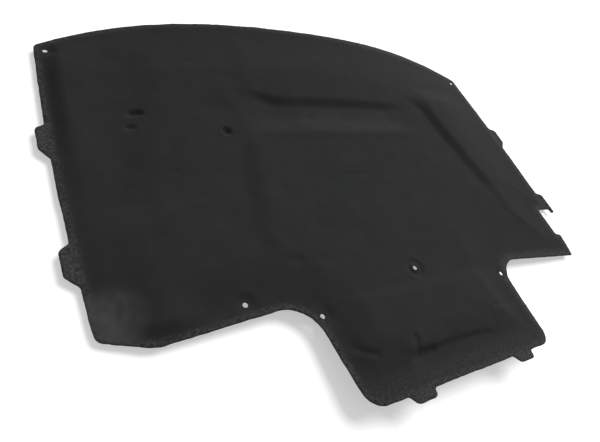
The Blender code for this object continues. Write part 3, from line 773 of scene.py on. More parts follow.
    def field_share(self, points: np.ndarray, body: np.ndarray, blank: FeltBlank) -> np.ndarray:
        """Finds where the padded field is.

        Args:
            points: Drafting points.
            body: The outline without its tabs.
            blank: The pad's blank.

        Returns:
            From 0 on the rim to 1 in the field, one value for each point.
        """
        left, tongue_left, others = self.sides(body, blank)
        share = self.left_share(points, left, blank)
        share *= self.slope_up(points, tongue_left, self.rim_width, self.tongue_steep_slope)
        share *= self.outer_share(points, others, blank)
        share *= 1.0 - self.flap(points, blank)
        return np.where(inside_loop(points, body), share, 0.0)

    def rim_mark(self, points: np.ndarray, body: np.ndarray, blank: FeltBlank) -> np.ndarray:
        """Marks the pressed rim and its tabs, and more faintly the tongue's flange.

        Args:
            points: Drafting points.
            body: The outline without its tabs.
            blank: The pad's blank.

        Returns:
            From 1 on the rim to 0 in the field, one value for each point.
        """
        from_edge = np.where(inside_loop(points, body), distance_to_loop(points, body), 0.0)
        wider = (self.right_mark_slope - self.rim_mark_slope) * self.at_right(points)
        rim = 1.0 - ease((from_edge - self.rim_width) / (self.rim_mark_slope + wider))
        beyond = blank.tongue_end + self.flange_mark_setback - points[:, 1]
        return np.maximum(rim, self.flange_mark * wall(beyond, self.flange_mark_slope))

    def light_patch_and_highlight_mark(self, points: np.ndarray, blank: FeltBlank) -> np.ndarray:
        """Marks a lighter patch at the wing's corner and a faint painted highlight on the trough's front.

        Args:
            points: Drafting points.
            blank: The pad's blank.

        Returns:
            From 0 to 1, one value for each point.
        """
        middle = (self.light_patch_inset - blank.wing_half_width, self.light_patch_setback - blank.side_length)
        corner = wall(self.light_patch_radius - np.linalg.norm(points - middle, axis=1), self.light_patch_slope)
        highlight_streak = mound(distance_to_line(points, self.highlight_streak.line()), self.highlight_streak.radius)
        return np.maximum(corner, self.highlight_streak_share * highlight_streak)

    def seats(self, points: np.ndarray, blank: FeltBlank) -> np.ndarray:
        """Finds where the clip seats are.

        Args:
            points: Drafting points.
            blank: The pad's blank.

        Returns:
            From 1 on the seats to 0 beyond their slopes, one value for each point.
        """
        share = np.zeros(len(points))
        for hole in blank.clip_holes():
            away = np.linalg.norm(points - hole, axis=1)
            share = np.maximum(share, 1.0 - ease((away - self.clip_seat_radius) / self.clip_seat_slope))
        return share

    def centre_seat(self, points: np.ndarray, blank: FeltBlank, slope: float) -> np.ndarray:
        """From 1 on the centre clip's seat, which is pressed from the hood side, to 0 beyond its slope."""
        away = np.linalg.norm(points - blank.clip_holes()[CENTRE_CLIP], axis=1)
        return 1.0 - ease((away - self.clip_seat_radius) / slope)

    def flank(self, points: np.ndarray, blank: FeltBlank) -> np.ndarray:
        """Raises the zone along the right side, most at the rear.

        Args:
            points: Drafting points.
            blank: The pad's blank.

        Returns:
            One height over the draft for each point.
        """
        station, across = -points[:, 1], points[:, 0]
        front_station = blank.side_length - self.flank_front_setback
        length = front_station - self.flank_rear_station
        run = np.clip((station - self.flank_rear_station) / length, 0.0, 1.0)
        narrower = (self.flank_front_inset - self.flank_rear_inset) * run**self.flank_sweep
        beyond = across - blank.side_half_width(-station) + self.flank_rear_inset + narrower
        rise = self.flank_rise + (self.flank_front_rise - self.flank_rise) * run**self.flank_fall
        ends = wall(station - self.flank_rear_station, self.flank_end_slope)
        ends *= wall(front_station - station, self.flank_end_slope)
        softer = ease((self.flank_soft_station - station) / self.flank_end_slope)
        width = self.flank_wall_width + (self.flank_soft_wall - self.flank_wall_width) * softer
        return rise * wall(beyond, width) * ends

    def valley(self, points: np.ndarray, blank: FeltBlank) -> np.ndarray:
        """Sinks a valley along the left side, steeper on its inner side.

        Args:
            points: Drafting points.
            blank: The pad's blank.

        Returns:
            One height over the draft for each point.
        """
        station = -points[:, 1]
        line = -blank.rear_half_width + self.valley_inset - self.valley_lean * station
        past = points[:, 0] - line
        section = ease(1.0 + past / self.valley_ramp) * ease(1.0 - past / self.valley_wall)
        ends = wall(station - self.valley_rear_station, self.valley_end_slope)
        ends *= wall(self.valley_front_station - station, self.valley_end_slope)
        return -self.valley_depth * section * ends

    def trough(self, points: np.ndarray, blank: FeltBlank) -> np.ndarray:
        """Sinks a shallow trough across the rear of the field, which runs out towards the right.

        Args:
            points: Drafting points.
            blank: The pad's blank, not used.

        Returns:
            One height over the draft for each point.
        """
        station, x = -points[:, 1], points[:, 0]
        bend = self.trough_bend * ease((self.trough_bend_start - x) / self.trough_bend_reach)
        share = wall(station - self.trough_rear_station + bend, self.trough_rear_wall)
        share *= wall(self.trough_front_station - station, self.trough_front_wall)
        within = wall(x - self.trough_left_end, self.trough_left_slope)
        within *= wall(self.trough_right_end - x, self.trough_right_slope)
        past_lip = station - self.trough_front_station - self.trough_lip_setback
        lip = self.trough_lip * mound(np.abs(past_lip), self.trough_lip_half_width)
        return within * (lip - self.trough_depth * share)

    def ridge_x(self, station: np.ndarray) -> np.ndarray:
        """Where the long ridge's crest lies at a distance from the corner line."""
        return -self.ridge_offset - self.ridge_lean * (station - self.ridge_start)

    def ridge(self, points: np.ndarray, blank: FeltBlank) -> np.ndarray:
        """Raises a long ridge left of the centre line, with a broad left slope and a low right side.

        Args:
            points: Drafting points.
            blank: The pad's blank.

        Returns:
            One height over the draft for each point.
        """
        station = -points[:, 1]
        past = points[:, 0] - self.ridge_x(station)
        section = ease(1.0 + past / self.ridge_left_slope) * ease(1.0 - past / self.ridge_fade)
        section *= 1.0 - self.ridge_right_drop * ease(past / self.ridge_right_slope)
        front_station = blank.side_length - self.ridge_front_setback
        ends = wall(station - self.ridge_rear_station, self.ridge_rear_slope)
        ends *= wall(front_station - station, self.ridge_front_slope)
        ends += self.step_share * wall(self.step_station - station, self.ridge_rear_slope)
        return self.ridge_height * section * ends

    def hook(self, points: np.ndarray, blank: FeltBlank) -> np.ndarray:
        """Raises a low bead that curves in from the ridge's front end.

        Args:
            points: Drafting points.
            blank: The pad's blank.

        Returns:
            One height over the draft for each point.
        """
        station = blank.side_length - self.ridge_front_setback
        start = np.array([float(self.ridge_x(np.array(station))), -station])
        turns = np.linspace(0.0, math.pi / 2, self.hook_segments + 1)
        bend = start + self.hook_radius * np.stack([1.0 - np.cos(turns), -np.sin(turns)], axis=1)
        line = np.vstack([bend, bend[-1] + (self.hook_reach, 0.0)])
        return self.hook_height * mound(distance_to_line(points, line), self.hook_half_width)

    def tongue_step(self, points: np.ndarray, blank: FeltBlank) -> np.ndarray:
        """Raises the tongue by a low step across its root.

        Args:
            points: Drafting points.
            blank: The pad's blank.

        Returns:
            One height over the draft for each point.
        """
        past = blank.wing_root - self.tongue_rise_setback - points[:, 1]
        within = wall(self.tongue_rise_half_width - np.abs(points[:, 0]), self.tongue_rise_end_slope)
        return self.tongue_rise * wall(past, self.tongue_rise_wall) * within

    def crease(self, points: np.ndarray, blank: FeltBlank) -> np.ndarray:
        """Sinks a short crease into the tongue's left corner.

        Args:
            points: Drafting points.
            blank: The pad's blank.

        Returns:
            One height over the draft for each point.
        """
        x = -blank.tongue_end_half_width + self.short_crease_inset
        y = blank.tongue_end + self.short_crease_setback
        line = np.array([(x, y)]) + ((0.0, 0.0), self.short_crease_bend, self.short_crease_end)
        return -self.crease_depth * mound(distance_to_line(points, line), self.crease_half_width)

    def dimpled(self, points: np.ndarray, blank: FeltBlank) -> np.ndarray:
        """Sinks small locating dimples, three in the left half and a shallow groove in the tongue.

        Args:
            points: Drafting points.
            blank: The pad's blank.

        Returns:
            One height over the draft for each point.
        """
        centre = np.array([-self.groove_offset, blank.tongue_end + self.groove_setback])
        half = np.array([self.groove_half_width, self.groove_half_length])
        away = distance_to_line(points, np.array([centre - half, centre + half]))
        depth = -self.groove_depth * ease((self.groove_radius - away) / self.dimple_wall)
        for dimple in self.dimples:
            away = distance_to_line(points, dimple.line())
            depth -= dimple.depth * ease((dimple.radius - away) / self.dimple_wall)
        return depth

    def dented(self, points: np.ndarray, blank: FeltBlank) -> np.ndarray:
        """Sinks the faint dents and dashes that handling has left.

        Args:
            points: Drafting points.
            blank: The pad's blank, not used.

        Returns:
            One height over the draft for each point.
        """
        depth = np.zeros(len(points))
        for dent in self.dents:
            depth -= dent.depth * mound(distance_to_line(points, dent.line()), dent.radius)
        return depth

    def forms(self) -> list[Callable[[np.ndarray, FeltBlank], np.ndarray]]:
        """The forms of the field, each a height over the draft."""
        raised = [self.flank, self.valley, self.trough, self.ridge, self.hook, self.tongue_step]
        return [*raised, self.crease, self.dimpled, self.dented]


@dataclass(frozen=True)
class FeltHand:
    """The small unevenness that tells felt from a moulded plastic."""

    waves: tuple[Pair, ...] = ((0.110, 0.0007), (0.034, 0.00035), (0.013, 0.00018))
    wave_seed: float = 7.3
    waves_on_rim: float = 0.25
    rim_wave: float = 0.0060
    rim_wave_height: float = 0.00028
    rim_seed: float = 41.0
    edge_waves: tuple[Pair, ...] = ((0.045, 0.0011), (0.014, 0.0006), (0.006, 0.0004))
    edge_seed: float = 19.0

    @staticmethod
    def wander(points: np.ndarray, length: float, seed: float) -> np.ndarray:
        """Smooth noise of a wave length, one value for each point."""
        return np.array([noise.noise(Vector((x / length, y / length, seed))) for x, y in points])

    def frayed(self, loop: np.ndarray) -> np.ndarray:
        """Lets a knife line wander a little.

        Args:
            loop: The loop that the knife should follow.

        Returns:
            The loop that it cuts.
        """
        drift = np.zeros(len(loop))
        for number, (length, reach) in enumerate(self.edge_waves):
            drift += reach * self.wander(loop, length, self.edge_seed + number)
        return loop + drift[:, None] * (drawn_in(loop, 1.0) - loop)

    def height(self, points: np.ndarray, soft: np.ndarray) -> np.ndarray:
        """Uneven height of the surface.

        Args:
            points: Drafting points.
            soft: From 0 on the pressed rim to 1 in the soft field.

        Returns:
            One height for each point.
        """
        share = self.waves_on_rim + (1.0 - self.waves_on_rim) * soft
        heights = np.zeros(len(points))
        for number, (length, height) in enumerate(self.waves):
            heights += height * self.wander(points, length, self.wave_seed * number) * share
        rim = self.wander(points, self.rim_wave, self.rim_seed)
        return heights + self.rim_wave_height * rim * (1.0 - soft)


@dataclass
class InsulationPad:
    """The pad itself: trimmed, pierced, pressed and dressed in felt."""

    blank: FeltBlank = field(default_factory=FeltBlank)
    arch: Arch = field(default_factory=Arch)
    relief: PressedRelief = field(default_factory=PressedRelief)
    hand: FeltHand = field(default_factory=FeltHand)
    top_step: float = 0.0048
    back_step: float = 0.0110
    edge_step: float = 0.0040
    edge_gap_share: float = 0.5
    hole_gap_share: float = 0.4
    hole_segments: int = 28
    edge_round: float = 0.0009
    bevel_share: float = 0.3

    def base(self, points: np.ndarray) -> np.ndarray:
        """Finds the height of the rim's underside, level round each clip hole.

        Args:
            points: Drafting points.

        Returns:
            One height for each point.
        """
        heights = self.arch.height(points, self.blank)
        for hole in self.blank.clip_holes():
            level = self.arch.height(hole[None], self.blank)[0]
            away = np.linalg.norm(points - hole, axis=1)
            blend = ease((away - self.relief.clip_seat_radius) / self.relief.clip_seat_slope)
            heights = level + blend * (heights - level)
        return heights + self.arch.lift(points, self.blank)

    def top(self, points: np.ndarray, soft: np.ndarray) -> np.ndarray:
        """Finds the height of the engine side.

        Args:
            points: Drafting points.
            soft: From 0 on the rim to 1 in the padded field.

        Returns:
            One height for each point.
        """
        relief = self.relief
        forms = sum(form(points, self.blank) for form in relief.forms())
        padding = soft * (relief.field_thickness - relief.rim_thickness + forms)
        seats = relief.seats(points, self.blank)
        lift = relief.centre_seat_lift * relief.centre_seat(points, self.blank, relief.clip_seat_slope)
        seat_padding = np.minimum(padding, relief.clip_seat_thickness - relief.rim_thickness + lift)
        padding = padding + seats * (seat_padding - padding)
        return self.base(points) + relief.rim_thickness + padding + self.hand.height(points, soft)

    def back(self, points: np.ndarray, body: np.ndarray) -> np.ndarray:
        """Finds the height of the hood side, which swells below the rim and is flat where it rests.

        Args:
            points: Drafting points.
            body: The outline without its tabs.

        Returns:
            One height for each point.
        """
        from_edge = np.where(inside_loop(points, body), distance_to_loop(points, body), 0.0)
        swell = self.arch.back_swell * ease((from_edge - self.relief.rim_width) / self.arch.back_slope)
        swell *= 1.0 - self.relief.seats(points, self.blank)
        at_centre = self.relief.centre_seat(points, self.blank, self.relief.centre_seat_back_slope)
        raised = (self.relief.centre_seat_lift + swell) * at_centre
        return np.maximum(self.base(points) - swell + raised, 0.0)

    def net(
        self, trim: np.ndarray, rims: list[np.ndarray], step: float
    ) -> tuple[np.ndarray, np.ndarray, list[list[int]]]:
        """Triangles over the trimmed blank with its clip holes left open.

        Args:
            trim: The outer loop.
            rims: The loops of the clip holes.
            step: The spacing of the facets.

        Returns:
            The flat points, the triangles, and each loop as indices of the flat points.
        """
        row_step = step * math.sqrt(0.75)
        low = np.floor(trim.min(axis=0) / (step, row_step)).astype(int)
        high = np.ceil(trim.max(axis=0) / (step, row_step)).astype(int)
        columns = np.arange(low[0], high[0] + 1)
        rows = [
            np.stack([(columns + 0.5 * (row % 2)) * step, np.full(len(columns), row * row_step)], axis=1)
            for row in range(low[1], high[1] + 1)
        ]
        grid = np.vstack(rows)
        grid = grid[inside_loop(grid, trim)]
        grid = grid[distance_to_loop(grid, trim) > self.edge_gap_share * min(step, self.edge_step)]
        for hole in self.blank.clip_holes():
            away = np.linalg.norm(grid - hole, axis=1)
            grid = grid[away > self.blank.clip_hole_radius + self.hole_gap_share * self.edge_step]

        points, edges, loops = [], [], []
        for loop in (trim, *rims):
            first = len(points)
            points.extend(loop)
            loops.append(list(range(first, len(points))))
            edges.extend(zip(loops[-1], [*loops[-1][1:], first]))
        points.extend(grid)
        corners = [tuple(map(float, point)) for point in points]
        cut = delaunay_2d_cdt(corners, edges, [], KEEP_INSIDE, MERGE_DISTANCE)
        flat = np.array([tuple(point) for point in cut[0]])
        faces = np.array(cut[2])
        middles = flat[faces].mean(axis=1)
        keep = np.ones(len(faces), bool)
        for hole in self.blank.clip_holes():
            keep &= np.linalg.norm(middles - hole, axis=1) > self.blank.clip_hole_radius
        corners = flat[faces]
        first, second = corners[:, 1] - corners[:, 0], corners[:, 2] - corners[:, 0]
        turned = first[:, 0] * second[:, 1] - first[:, 1] * second[:, 0] < 0.0
        faces[turned] = faces[turned][:, ::-1]
        origin = {old: new for new, olds in enumerate(cut[3]) for old in olds}
        return flat, faces[keep], [[origin[index] for index in loop] for loop in loops]

    def build(self) -> bpy.types.Object:
        """Presses the pad.

        Returns:
            The pad as one closed mesh, with its marks for the finish.
        """
        body = self.blank.outline(with_tabs=False)
        trim = self.hand.frayed(subdivided(self.blank.outline(with_tabs=True), self.edge_step))
        radius = self.blank.clip_hole_radius
        cuts = [trim, *(circle(hole, radius, self.hole_segments) for hole in self.blank.clip_holes())]
        shoulders = [drawn_in(loop, self.edge_round) for loop in cuts]

        top_flat, top_faces, top_loops = self.net(shoulders[0], shoulders[1:], self.top_step)
        back_flat, back_faces, back_loops = self.net(shoulders[0], shoulders[1:], self.back_step)
        top_soft = self.relief.field_share(top_flat, body, self.blank)
        top_rim = self.relief.rim_mark(top_flat, body, self.blank)
        back_rim = self.relief.rim_mark(back_flat, body, self.blank)
        top = np.column_stack([top_flat, self.top(top_flat, top_soft)])
        back = np.column_stack([back_flat, self.back(back_flat, body)])

        blocks, faces = [top, back], [top_faces, back_faces[:, ::-1] + len(top)]
        marks = {
            PadMark.PRESSED: [top_rim, back_rim],
            PadMark.CUT: [np.zeros(len(top)), np.zeros(len(back))],
            # The top carries the lighter corner patch and the painted highlight streak.
            PadMark.LIGHT_PATCH_AND_HIGHLIGHT: [self.relief.light_patch_and_highlight_mark(top_flat, self.blank), np.zeros(len(back))],
        }
        count = len(top) + len(back)
        bevel = self.bevel_share * self.edge_round
        for cut, top_loop, back_loop in zip(cuts, top_loops, back_loops):
            upper, lower = top[top_loop, 2], back[back_loop, 2]
            rows = [np.array(top_loop)]
            for inset, height in (
                (bevel, upper - bevel),
                (0.0, upper - self.edge_round),
                (0.0, lower + self.edge_round),
                (bevel, lower + bevel),
            ):
                blocks.append(np.column_stack([drawn_in(cut, inset), height]))
                marks[PadMark.PRESSED].append(np.ones(len(cut)))
                marks[PadMark.CUT].append(np.ones(len(cut)))
                marks[PadMark.LIGHT_PATCH_AND_HIGHLIGHT].append(np.zeros(len(cut)))
                rows.append(np.arange(count, count + len(cut)))
                count += len(cut)
            rows.append(np.array(back_loop) + len(top))
            for above, below in zip(rows[:-1], rows[1:]):
                ahead, ahead_below = np.roll(above, -1), np.roll(below, -1)
                faces.append(np.column_stack([above, ahead, ahead_below]))
                faces.append(np.column_stack([above, ahead_below, below]))

        points = np.vstack(blocks) - (*self.blank.middle, 0.0)
        mesh = bpy.data.meshes.new("felt_pad")
        mesh.from_pydata(points.tolist(), [], np.vstack(faces).tolist())
        for mark, values in marks.items():
            layer = mesh.attributes.new(mark.value, "FLOAT", "POINT")
            layer.data.foreach_set("value", np.concatenate(values).astype(np.float32))
        mesh.shade_smooth()
        mesh.validate()
        pad = bpy.data.objects.new("felt_pad", mesh)
        bpy.context.scene.collection.objects.link(pad)
        return pad

    def dress(self, pad: bpy.types.Object, finish: "FeltFinish") -> None:
        """Gives the pad its felt and ties it to the frame.

        Args:
            pad: The pressed pad.
            finish: Its finish.
        """
        pad.data.materials.append(finish.material())
        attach(pad, BODY)
        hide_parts(NODE)


class Value:
    """A shader socket that takes part in Python arithmetic by adding Math nodes."""

    def __init__(self, graph: "ShaderGraph", socket: bpy.types.NodeSocket) -> None:
        """Wraps a socket of a graph."""
        self.graph = graph
        self.socket = socket

    def __add__(self, other: "Value | float") -> "Value":
        """self + other."""
        return self.graph.math("ADD", self, other)

    def __radd__(self, other: float) -> "Value":
        """other + self."""
        return self.graph.math("ADD", other, self)

    def __sub__(self, other: "Value | float") -> "Value":
        """self - other."""
        return self.graph.math("SUBTRACT", self, other)

    def __rsub__(self, other: float) -> "Value":
        """other - self."""
        return self.graph.math("SUBTRACT", other, self)

    def __mul__(self, other: "Value | float") -> "Value":
        """self * other."""
        return self.graph.math("MULTIPLY", self, other)

    def __rmul__(self, other: float) -> "Value":
        """other * self."""
        return self.graph.math("MULTIPLY", other, self)


class ShaderGraph:
    """The nodes of one material or of the world."""

    def __init__(self, owner: bpy.types.Material | bpy.types.World) -> None:
        """Starts the owner's graph afresh.

        Args:
            owner: The material or the world.
        """
        owner.use_nodes = True
        self.owner = owner
        self.nodes = owner.node_tree.nodes
        self.links = owner.node_tree.links
        self.nodes.clear()

    def node(self, kind: str, settings: dict | None = None, inputs: dict | None = None) -> bpy.types.Node:
        """Adds a node.

        Args:
            kind: The node's type.
            settings: Its own settings, set first. A ramp's stops come as "stops".
            inputs: Values or links for its sockets, by name or index.

        Returns:
            The node.
        """
        made = self.nodes.new(kind)
        for key, setting in (settings or {}).items():
            if key == "stops":
                self.set_stops(made, setting)
            else:
                setattr(made, key, setting)
        for key, given in (inputs or {}).items():
            if isinstance(given, Value):
                self.links.new(given.socket, made.inputs[key])
            else:
                made.inputs[key].default_value = given
        return made

    @staticmethod
    def set_stops(ramp: bpy.types.Node, stops: tuple[Pair, ...]) -> None:
        """Gives a colour ramp its grey stops.

        Args:
            ramp: The ramp's node.
            stops: Each stop's place and level.
        """
        elements = ramp.color_ramp.elements
        while len(elements) > 1:
            elements.remove(elements[-1])
        elements[0].position = stops[0][0]
        elements[0].color = (*[stops[0][1]] * 3, 1.0)
        for place, level in stops[1:]:
            elements.new(place).color = (*[level] * 3, 1.0)

    def out(self, made: bpy.types.Node, name: str | int = 0) -> Value:
        """One output of a node."""
        return Value(self, made.outputs[name])

    def math(self, operation: str, first: "Value | float", second: "Value | float") -> Value:
        """One step of arithmetic."""
        return self.out(self.node("ShaderNodeMath", {"operation": operation}, {0: first, 1: second}))

    def mark(self, mark: PadMark) -> Value:
        """A mark that the mesh carries."""
        return self.out(self.node("ShaderNodeAttribute", {"attribute_name": mark.value}), "Fac")

    def coordinates(self, stretch: Spot, turn: float = 0.0) -> Value:
        """Adds object coordinates.

        Args:
            stretch: How long one unit is along each axis.
            turn: A turn about Z, in degrees.

        Returns:
            The coordinates.
        """
        place = self.out(self.node("ShaderNodeTexCoord"), "Object")
        inputs = {"Vector": place, "Rotation": (0.0, 0.0, math.radians(turn)), "Scale": stretch}
        return self.out(self.node("ShaderNodeMapping", {"vector_type": "TEXTURE"}, inputs))

    def noise(self, place: Value, detail: float, roughness: float, distortion: float = 0.0) -> Value:
        """Adds fractal noise.

        Args:
            place: Its coordinates.
            detail: How many finer layers it has.
            roughness: How strong the finer layers are.
            distortion: How far it is warped.

        Returns:
            The noise, from 0 to 1.
        """
        inputs = {"Vector": place, "Scale": 1.0, "Detail": detail, "Roughness": roughness}
        inputs["Distortion"] = distortion
        return self.out(self.node("ShaderNodeTexNoise", None, inputs), "Fac")

    def ramp(self, value: Value, stops: tuple[Pair, ...]) -> Value:
        """A value through a ramp of grey stops."""
        return self.out(self.node("ShaderNodeValToRGB", {"stops": stops}, {"Fac": value}), "Color")

    def mix(self, share: "Value | float", first: "Value | Colour", second: "Value | Colour") -> Value:
        """A colour between two others."""
        inputs = {0: share, 6: first, 7: second}
        return self.out(self.node("ShaderNodeMix", {"data_type": "RGBA"}, inputs), 2)

    def finish(self, shader: bpy.types.Node) -> bpy.types.Material | bpy.types.World:
        """Ends the graph.

        Args:
            shader: The shader that it ends in.

        Returns:
            The graph's owner.
        """
        of_world = isinstance(self.owner, bpy.types.World)
        output = "ShaderNodeOutputWorld" if of_world else "ShaderNodeOutputMaterial"
        self.node(output, None, {"Surface": self.out(shader)})
        return self.owner


class Grain(NamedTuple):
    """One even layer of noise in the felt, its turn in degrees."""

    size: float
    detail: float
    roughness: float
    turn: float = 0.0

    def laid(self, graph: ShaderGraph) -> Value:
        """The layer as a value from 0 to 1."""
        place = graph.coordinates((self.size, self.size, self.size), self.turn)
        return graph.noise(place, self.detail, self.roughness)


@dataclass(frozen=True)
class FeltFinish:
    """Black needled felt: matted fibres, a flatter pressed rim and a raw cut edge."""

    field_dark: Colour = (0.0162, 0.0168, 0.0177, 1.0)
    field_light: Colour = (0.0280, 0.0287, 0.0300, 1.0)
    rim_dark: Colour = (0.0180, 0.0183, 0.0188, 1.0)
    rim_light: Colour = (0.0500, 0.0505, 0.0512, 1.0)
    # Colour of the lighter corner patch and of the painted highlight streak.
    light_patch_and_highlight_colour: Colour = (0.0600, 0.0600, 0.0595, 1.0)
    cut: Colour = (0.0480, 0.0475, 0.0465, 1.0)
    lint: Colour = (0.0900, 0.0900, 0.0880, 1.0)
    sheen: float = 0.015
    sheen_roughness: float = 0.45
    field_roughness: float = 0.93
    rim_roughness: float = 0.80
    index: float = 1.16
    gloss: float = 0.30

    fibre_length: float = 0.0090
    fibre_width: float = 0.00055
    fibre_turns: tuple[float, ...] = (12.0, 57.0, 101.0, 148.0)
    fibre_detail: float = 2.0
    fibre_roughness: float = 0.6
    fibre_distortion: float = 0.8
    grain: Grain = Grain(0.0011, 3.0, 0.65)
    blotch: Grain = Grain(0.0450, 4.0, 0.55)
    speckle: Grain = Grain(0.0042, 2.0, 0.6)
    # Noise that breaks up the lighter patch and the painted highlight.
    light_patch_noise: Grain = Grain(0.0320, 3.0, 0.6, 21.0)
    specks: Grain = Grain(0.0016, 0.0, 0.0, 33.0)

    fibre_tone: float = 0.45
    grain_tone: float = 0.25
    blotch_tone: float = 0.30
    tone_stops: tuple[Pair, ...] = ((0.30, 0.0), (0.72, 1.0))
    rim_stops: tuple[Pair, ...] = ((0.34, 0.0), (0.64, 1.0))
    light_patch_stops: tuple[Pair, ...] = ((0.30, 0.35), (0.66, 0.95))
    lint_stops: tuple[Pair, ...] = ((0.80, 0.0), (0.84, 0.35))
    cut_share: float = 0.4

    grain_roughness: float = 0.10
    pressed_flat: float = 0.55
    grain_height: float = 0.6
    rim_height: float = 0.9
    bump_strength: float = 0.8
    bump_height: float = 0.00035

    def fibres(self, graph: ShaderGraph) -> Value:
        """Lays matted fibres: streaks of noise across each other at several angles.

        Args:
            graph: The felt's graph.

        Returns:
            The fibres' height, from 0 to 1.
        """
        matted = None
        for turn in self.fibre_turns:
            place = graph.coordinates((self.fibre_length, self.fibre_width, self.fibre_width), turn)
            layer = graph.noise(place, self.fibre_detail, self.fibre_roughness, self.fibre_distortion)
            matted = layer if matted is None else graph.math("MAXIMUM", matted, layer)
        return matted

    def material(self) -> bpy.types.Material:
        """Builds the felt.

        Returns:
            The material of the whole pad.
        """
        graph = ShaderGraph(bpy.data.materials.new("black_felt"))
        pressed, cut = graph.mark(PadMark.PRESSED), graph.mark(PadMark.CUT)
        fibres, grain, mottle = self.fibres(graph), self.grain.laid(graph), self.speckle.laid(graph)

        tone = self.fibre_tone * fibres + self.grain_tone * grain
        tone = graph.ramp(tone + self.blotch_tone * self.blotch.laid(graph), self.tone_stops)
        colour = graph.mix(tone, self.field_dark, self.field_light)
        rim = graph.mix(graph.ramp(mottle, self.rim_stops), self.rim_dark, self.rim_light)
        colour = graph.mix(pressed, colour, rim)
        # A lighter patch at the wing's corner, and a painted highlight on the trough's front side.
        light_patch_shares = graph.ramp(self.light_patch_noise.laid(graph), self.light_patch_stops)
        colour = graph.mix(graph.mark(PadMark.LIGHT_PATCH_AND_HIGHLIGHT) * light_patch_shares, colour, self.light_patch_and_highlight_colour)
        colour = graph.mix(graph.ramp(self.specks.laid(graph), self.lint_stops), colour, self.lint)
        colour = graph.mix(cut * (self.cut_share + (1.0 - self.cut_share) * grain), colour, self.cut)

        roughness = self.field_roughness - (self.field_roughness - self.rim_roughness) * pressed
        roughness = roughness + self.grain_roughness * (grain - 0.5)
        height = fibres * (1.0 - self.pressed_flat * pressed) + self.grain_height * grain
        height = height + self.rim_height * mottle * pressed
        bump = graph.node("ShaderNodeBump", None, {
            "Strength": self.bump_strength, "Distance": self.bump_height, "Height": height,
        })
        shader = graph.node("ShaderNodeBsdfPrincipled", None, {
            "Base Color": colour, "Roughness": roughness, "Normal": graph.out(bump),
            "Sheen Weight": self.sheen, "Sheen Roughness": self.sheen_roughness,
            "IOR": self.index, "Specular IOR Level": self.gloss,
        })
        return graph.finish(shader)


@dataclass(frozen=True)
class StudioTable:
    """The pale table, which shows white to the camera and keeps the pad's shadow."""

    size: float = 14.0
    level: float = -0.0003
    bounce: Colour = (0.62, 0.62, 0.62, 1.0)
    shown: Colour = (0.60, 0.60, 0.60, 1.0)
    glow: float = 0.46

    def build(self) -> bpy.types.Object:
        """Builds the table.

        Returns:
            The table.
        """
        half = self.size / 2
        mesh = bpy.data.meshes.new("studio_table")
        corners = [(x * half, y * half, self.level) for x, y in ((-1, -1), (1, -1), (1, 1), (-1, 1))]
        mesh.from_pydata(corners, [], [(0, 1, 2, 3)])
        table = bpy.data.objects.new("studio_table", mesh)
        bpy.context.scene.collection.objects.link(table)
        mesh.materials.append(self.material())
        return table

    def material(self) -> bpy.types.Material:
        """Builds a matt white that throws plain light back on the pad.

        Returns:
            The table's material.
        """
        graph = ShaderGraph(bpy.data.materials.new("studio_table"))
        path = graph.node("ShaderNodeLightPath")
        seen = graph.math("MAXIMUM", graph.out(path, "Is Camera Ray"), graph.out(path, "Is Glossy Ray"))
        seen = graph.math("MAXIMUM", seen, graph.out(path, "Is Transmission Ray"))
        bounced = graph.node("ShaderNodeBsdfDiffuse", None, {"Color": self.bounce})
        shown = graph.node("ShaderNodeBsdfDiffuse", None, {"Color": self.shown})
        glow = graph.node("ShaderNodeEmission", None, {"Strength": self.glow})
        bright = graph.node("ShaderNodeAddShader", None, {0: graph.out(shown), 1: graph.out(glow)})
        inputs = {0: seen, 1: graph.out(bounced), 2: graph.out(bright)}
        return graph.finish(graph.node("ShaderNodeMixShader", None, inputs))


class Lamp(NamedTuple):
    """One broad distant lamp, its bearing from the X axis, its height and its width in degrees."""

    name: str
    azimuth: float
    elevation: float
    spread: float
    strength: float

    def towards(self) -> Vector:
        """Finds the way from the pad to the lamp.

        Returns:
            A way of length 1.
        """
        azimuth, elevation = math.radians(self.azimuth), math.radians(self.elevation)
        level = math.cos(elevation)
        return Vector((math.cos(azimuth) * level, math.sin(azimuth) * level, math.sin(elevation)))


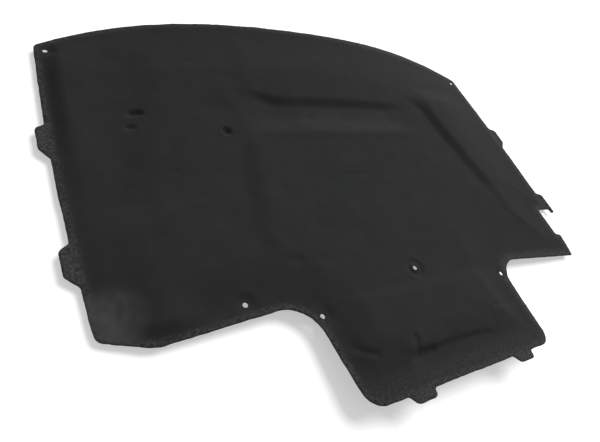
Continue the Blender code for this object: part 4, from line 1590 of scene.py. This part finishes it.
@dataclass(frozen=True)
class StudioLight:
    """A broad soft light from behind the pad's right side over an even fill.

    The pad is lit at a low angle, which brings out its relief. The table gets its light from higher up,
    which keeps the shadow short.
    """

    pad_lamp: Lamp = Lamp("soft_key", 42.0, 31.0, 36.0, 4.0)
    table_lamp: Lamp = Lamp("table_key", 24.0, 51.0, 42.0, 4.2)
    distance: float = 3.0
    fill: float = 0.34

    def hang(self, lamp: Lamp, lit: bpy.types.Object) -> None:
        """Adds a lamp.

        Args:
            lamp: The lamp.
            lit: The only object that it lights.
        """
        data = bpy.data.lights.new(lamp.name, "SUN")
        data.energy = lamp.strength
        data.angle = math.radians(lamp.spread)
        hung = bpy.data.objects.new(lamp.name, data)
        hung.rotation_euler = lamp.towards().to_track_quat("Z", "Y").to_euler()
        hung.location = lamp.towards() * self.distance
        bpy.context.scene.collection.objects.link(hung)
        receivers = bpy.data.collections.new(lamp.name + "_lights")
        receivers.objects.link(lit)
        hung.light_linking.receiver_collection = receivers

    def surroundings(self) -> bpy.types.World:
        """Builds the even fill, which shows plain white to the camera.

        Returns:
            The world.
        """
        graph = ShaderGraph(bpy.data.worlds.new("studio_fill"))
        dim = graph.node("ShaderNodeBackground", None, {"Color": WHITE, "Strength": self.fill})
        plain = graph.node("ShaderNodeBackground", None, {"Color": WHITE, "Strength": 1.0})
        seen = graph.out(graph.node("ShaderNodeLightPath"), "Is Camera Ray")
        inputs = {0: seen, 1: graph.out(dim), 2: graph.out(plain)}
        return graph.finish(graph.node("ShaderNodeMixShader", None, inputs))

    def build(self, pad: bpy.types.Object, table: bpy.types.Object) -> None:
        """Adds the two lamps and the fill.

        Args:
            pad: The pad, which has a lamp of its own.
            table: The table, which has one too.
        """
        self.hang(self.pad_lamp, pad)
        self.hang(self.table_lamp, table)
        bpy.context.scene.world = self.surroundings()


@dataclass(frozen=True)
class PhotoCamera:
    """The camera of the reference view, held turned about its own axis."""

    eye: Spot = (-0.7586, -0.5297, 0.7596)
    target: Spot = (-0.1986, -0.0746, 0.0110)
    roll: float = 35.19
    lens: float = 30.0
    sensor: float = 36.0
    far: float = 60.0

    def build(self) -> bpy.types.Object:
        """Sets the scene's camera.

        Returns:
            The camera.
        """
        data = bpy.data.cameras.new("photo_camera")
        data.lens = self.lens
        data.sensor_width = self.sensor
        data.clip_end = self.far
        camera = bpy.data.objects.new("photo_camera", data)
        bpy.context.scene.collection.objects.link(camera)
        look = (Vector(self.target) - Vector(self.eye)).to_track_quat("-Z", "Y").to_matrix().to_4x4()
        turn = Matrix.Rotation(math.radians(self.roll), 4, "Z")
        camera.matrix_world = Matrix.Translation(self.eye) @ look @ turn
        bpy.context.scene.camera = camera
        return camera


def main() -> None:
    """Builds the scene in order."""
    logging.basicConfig(level=logging.INFO, format="%(name)s: %(message)s")
    bpy.context.scene.view_settings.view_transform = "Standard"

    camera = PhotoCamera().build()
    LOG.info("camera at %s", tuple(round(x, 3) for x in camera.location))
    table = StudioTable().build()
    LOG.info("table %.0f m wide", table.dimensions.x)

    maker = InsulationPad()
    pad = maker.build()
    maker.dress(pad, FeltFinish())
    LOG.info("felt pad of %d facets", len(pad.data.polygons))

    StudioLight().build(pad, table)
    LOG.info("two lamps over an even fill")


if __name__ == "__main__":
    main()
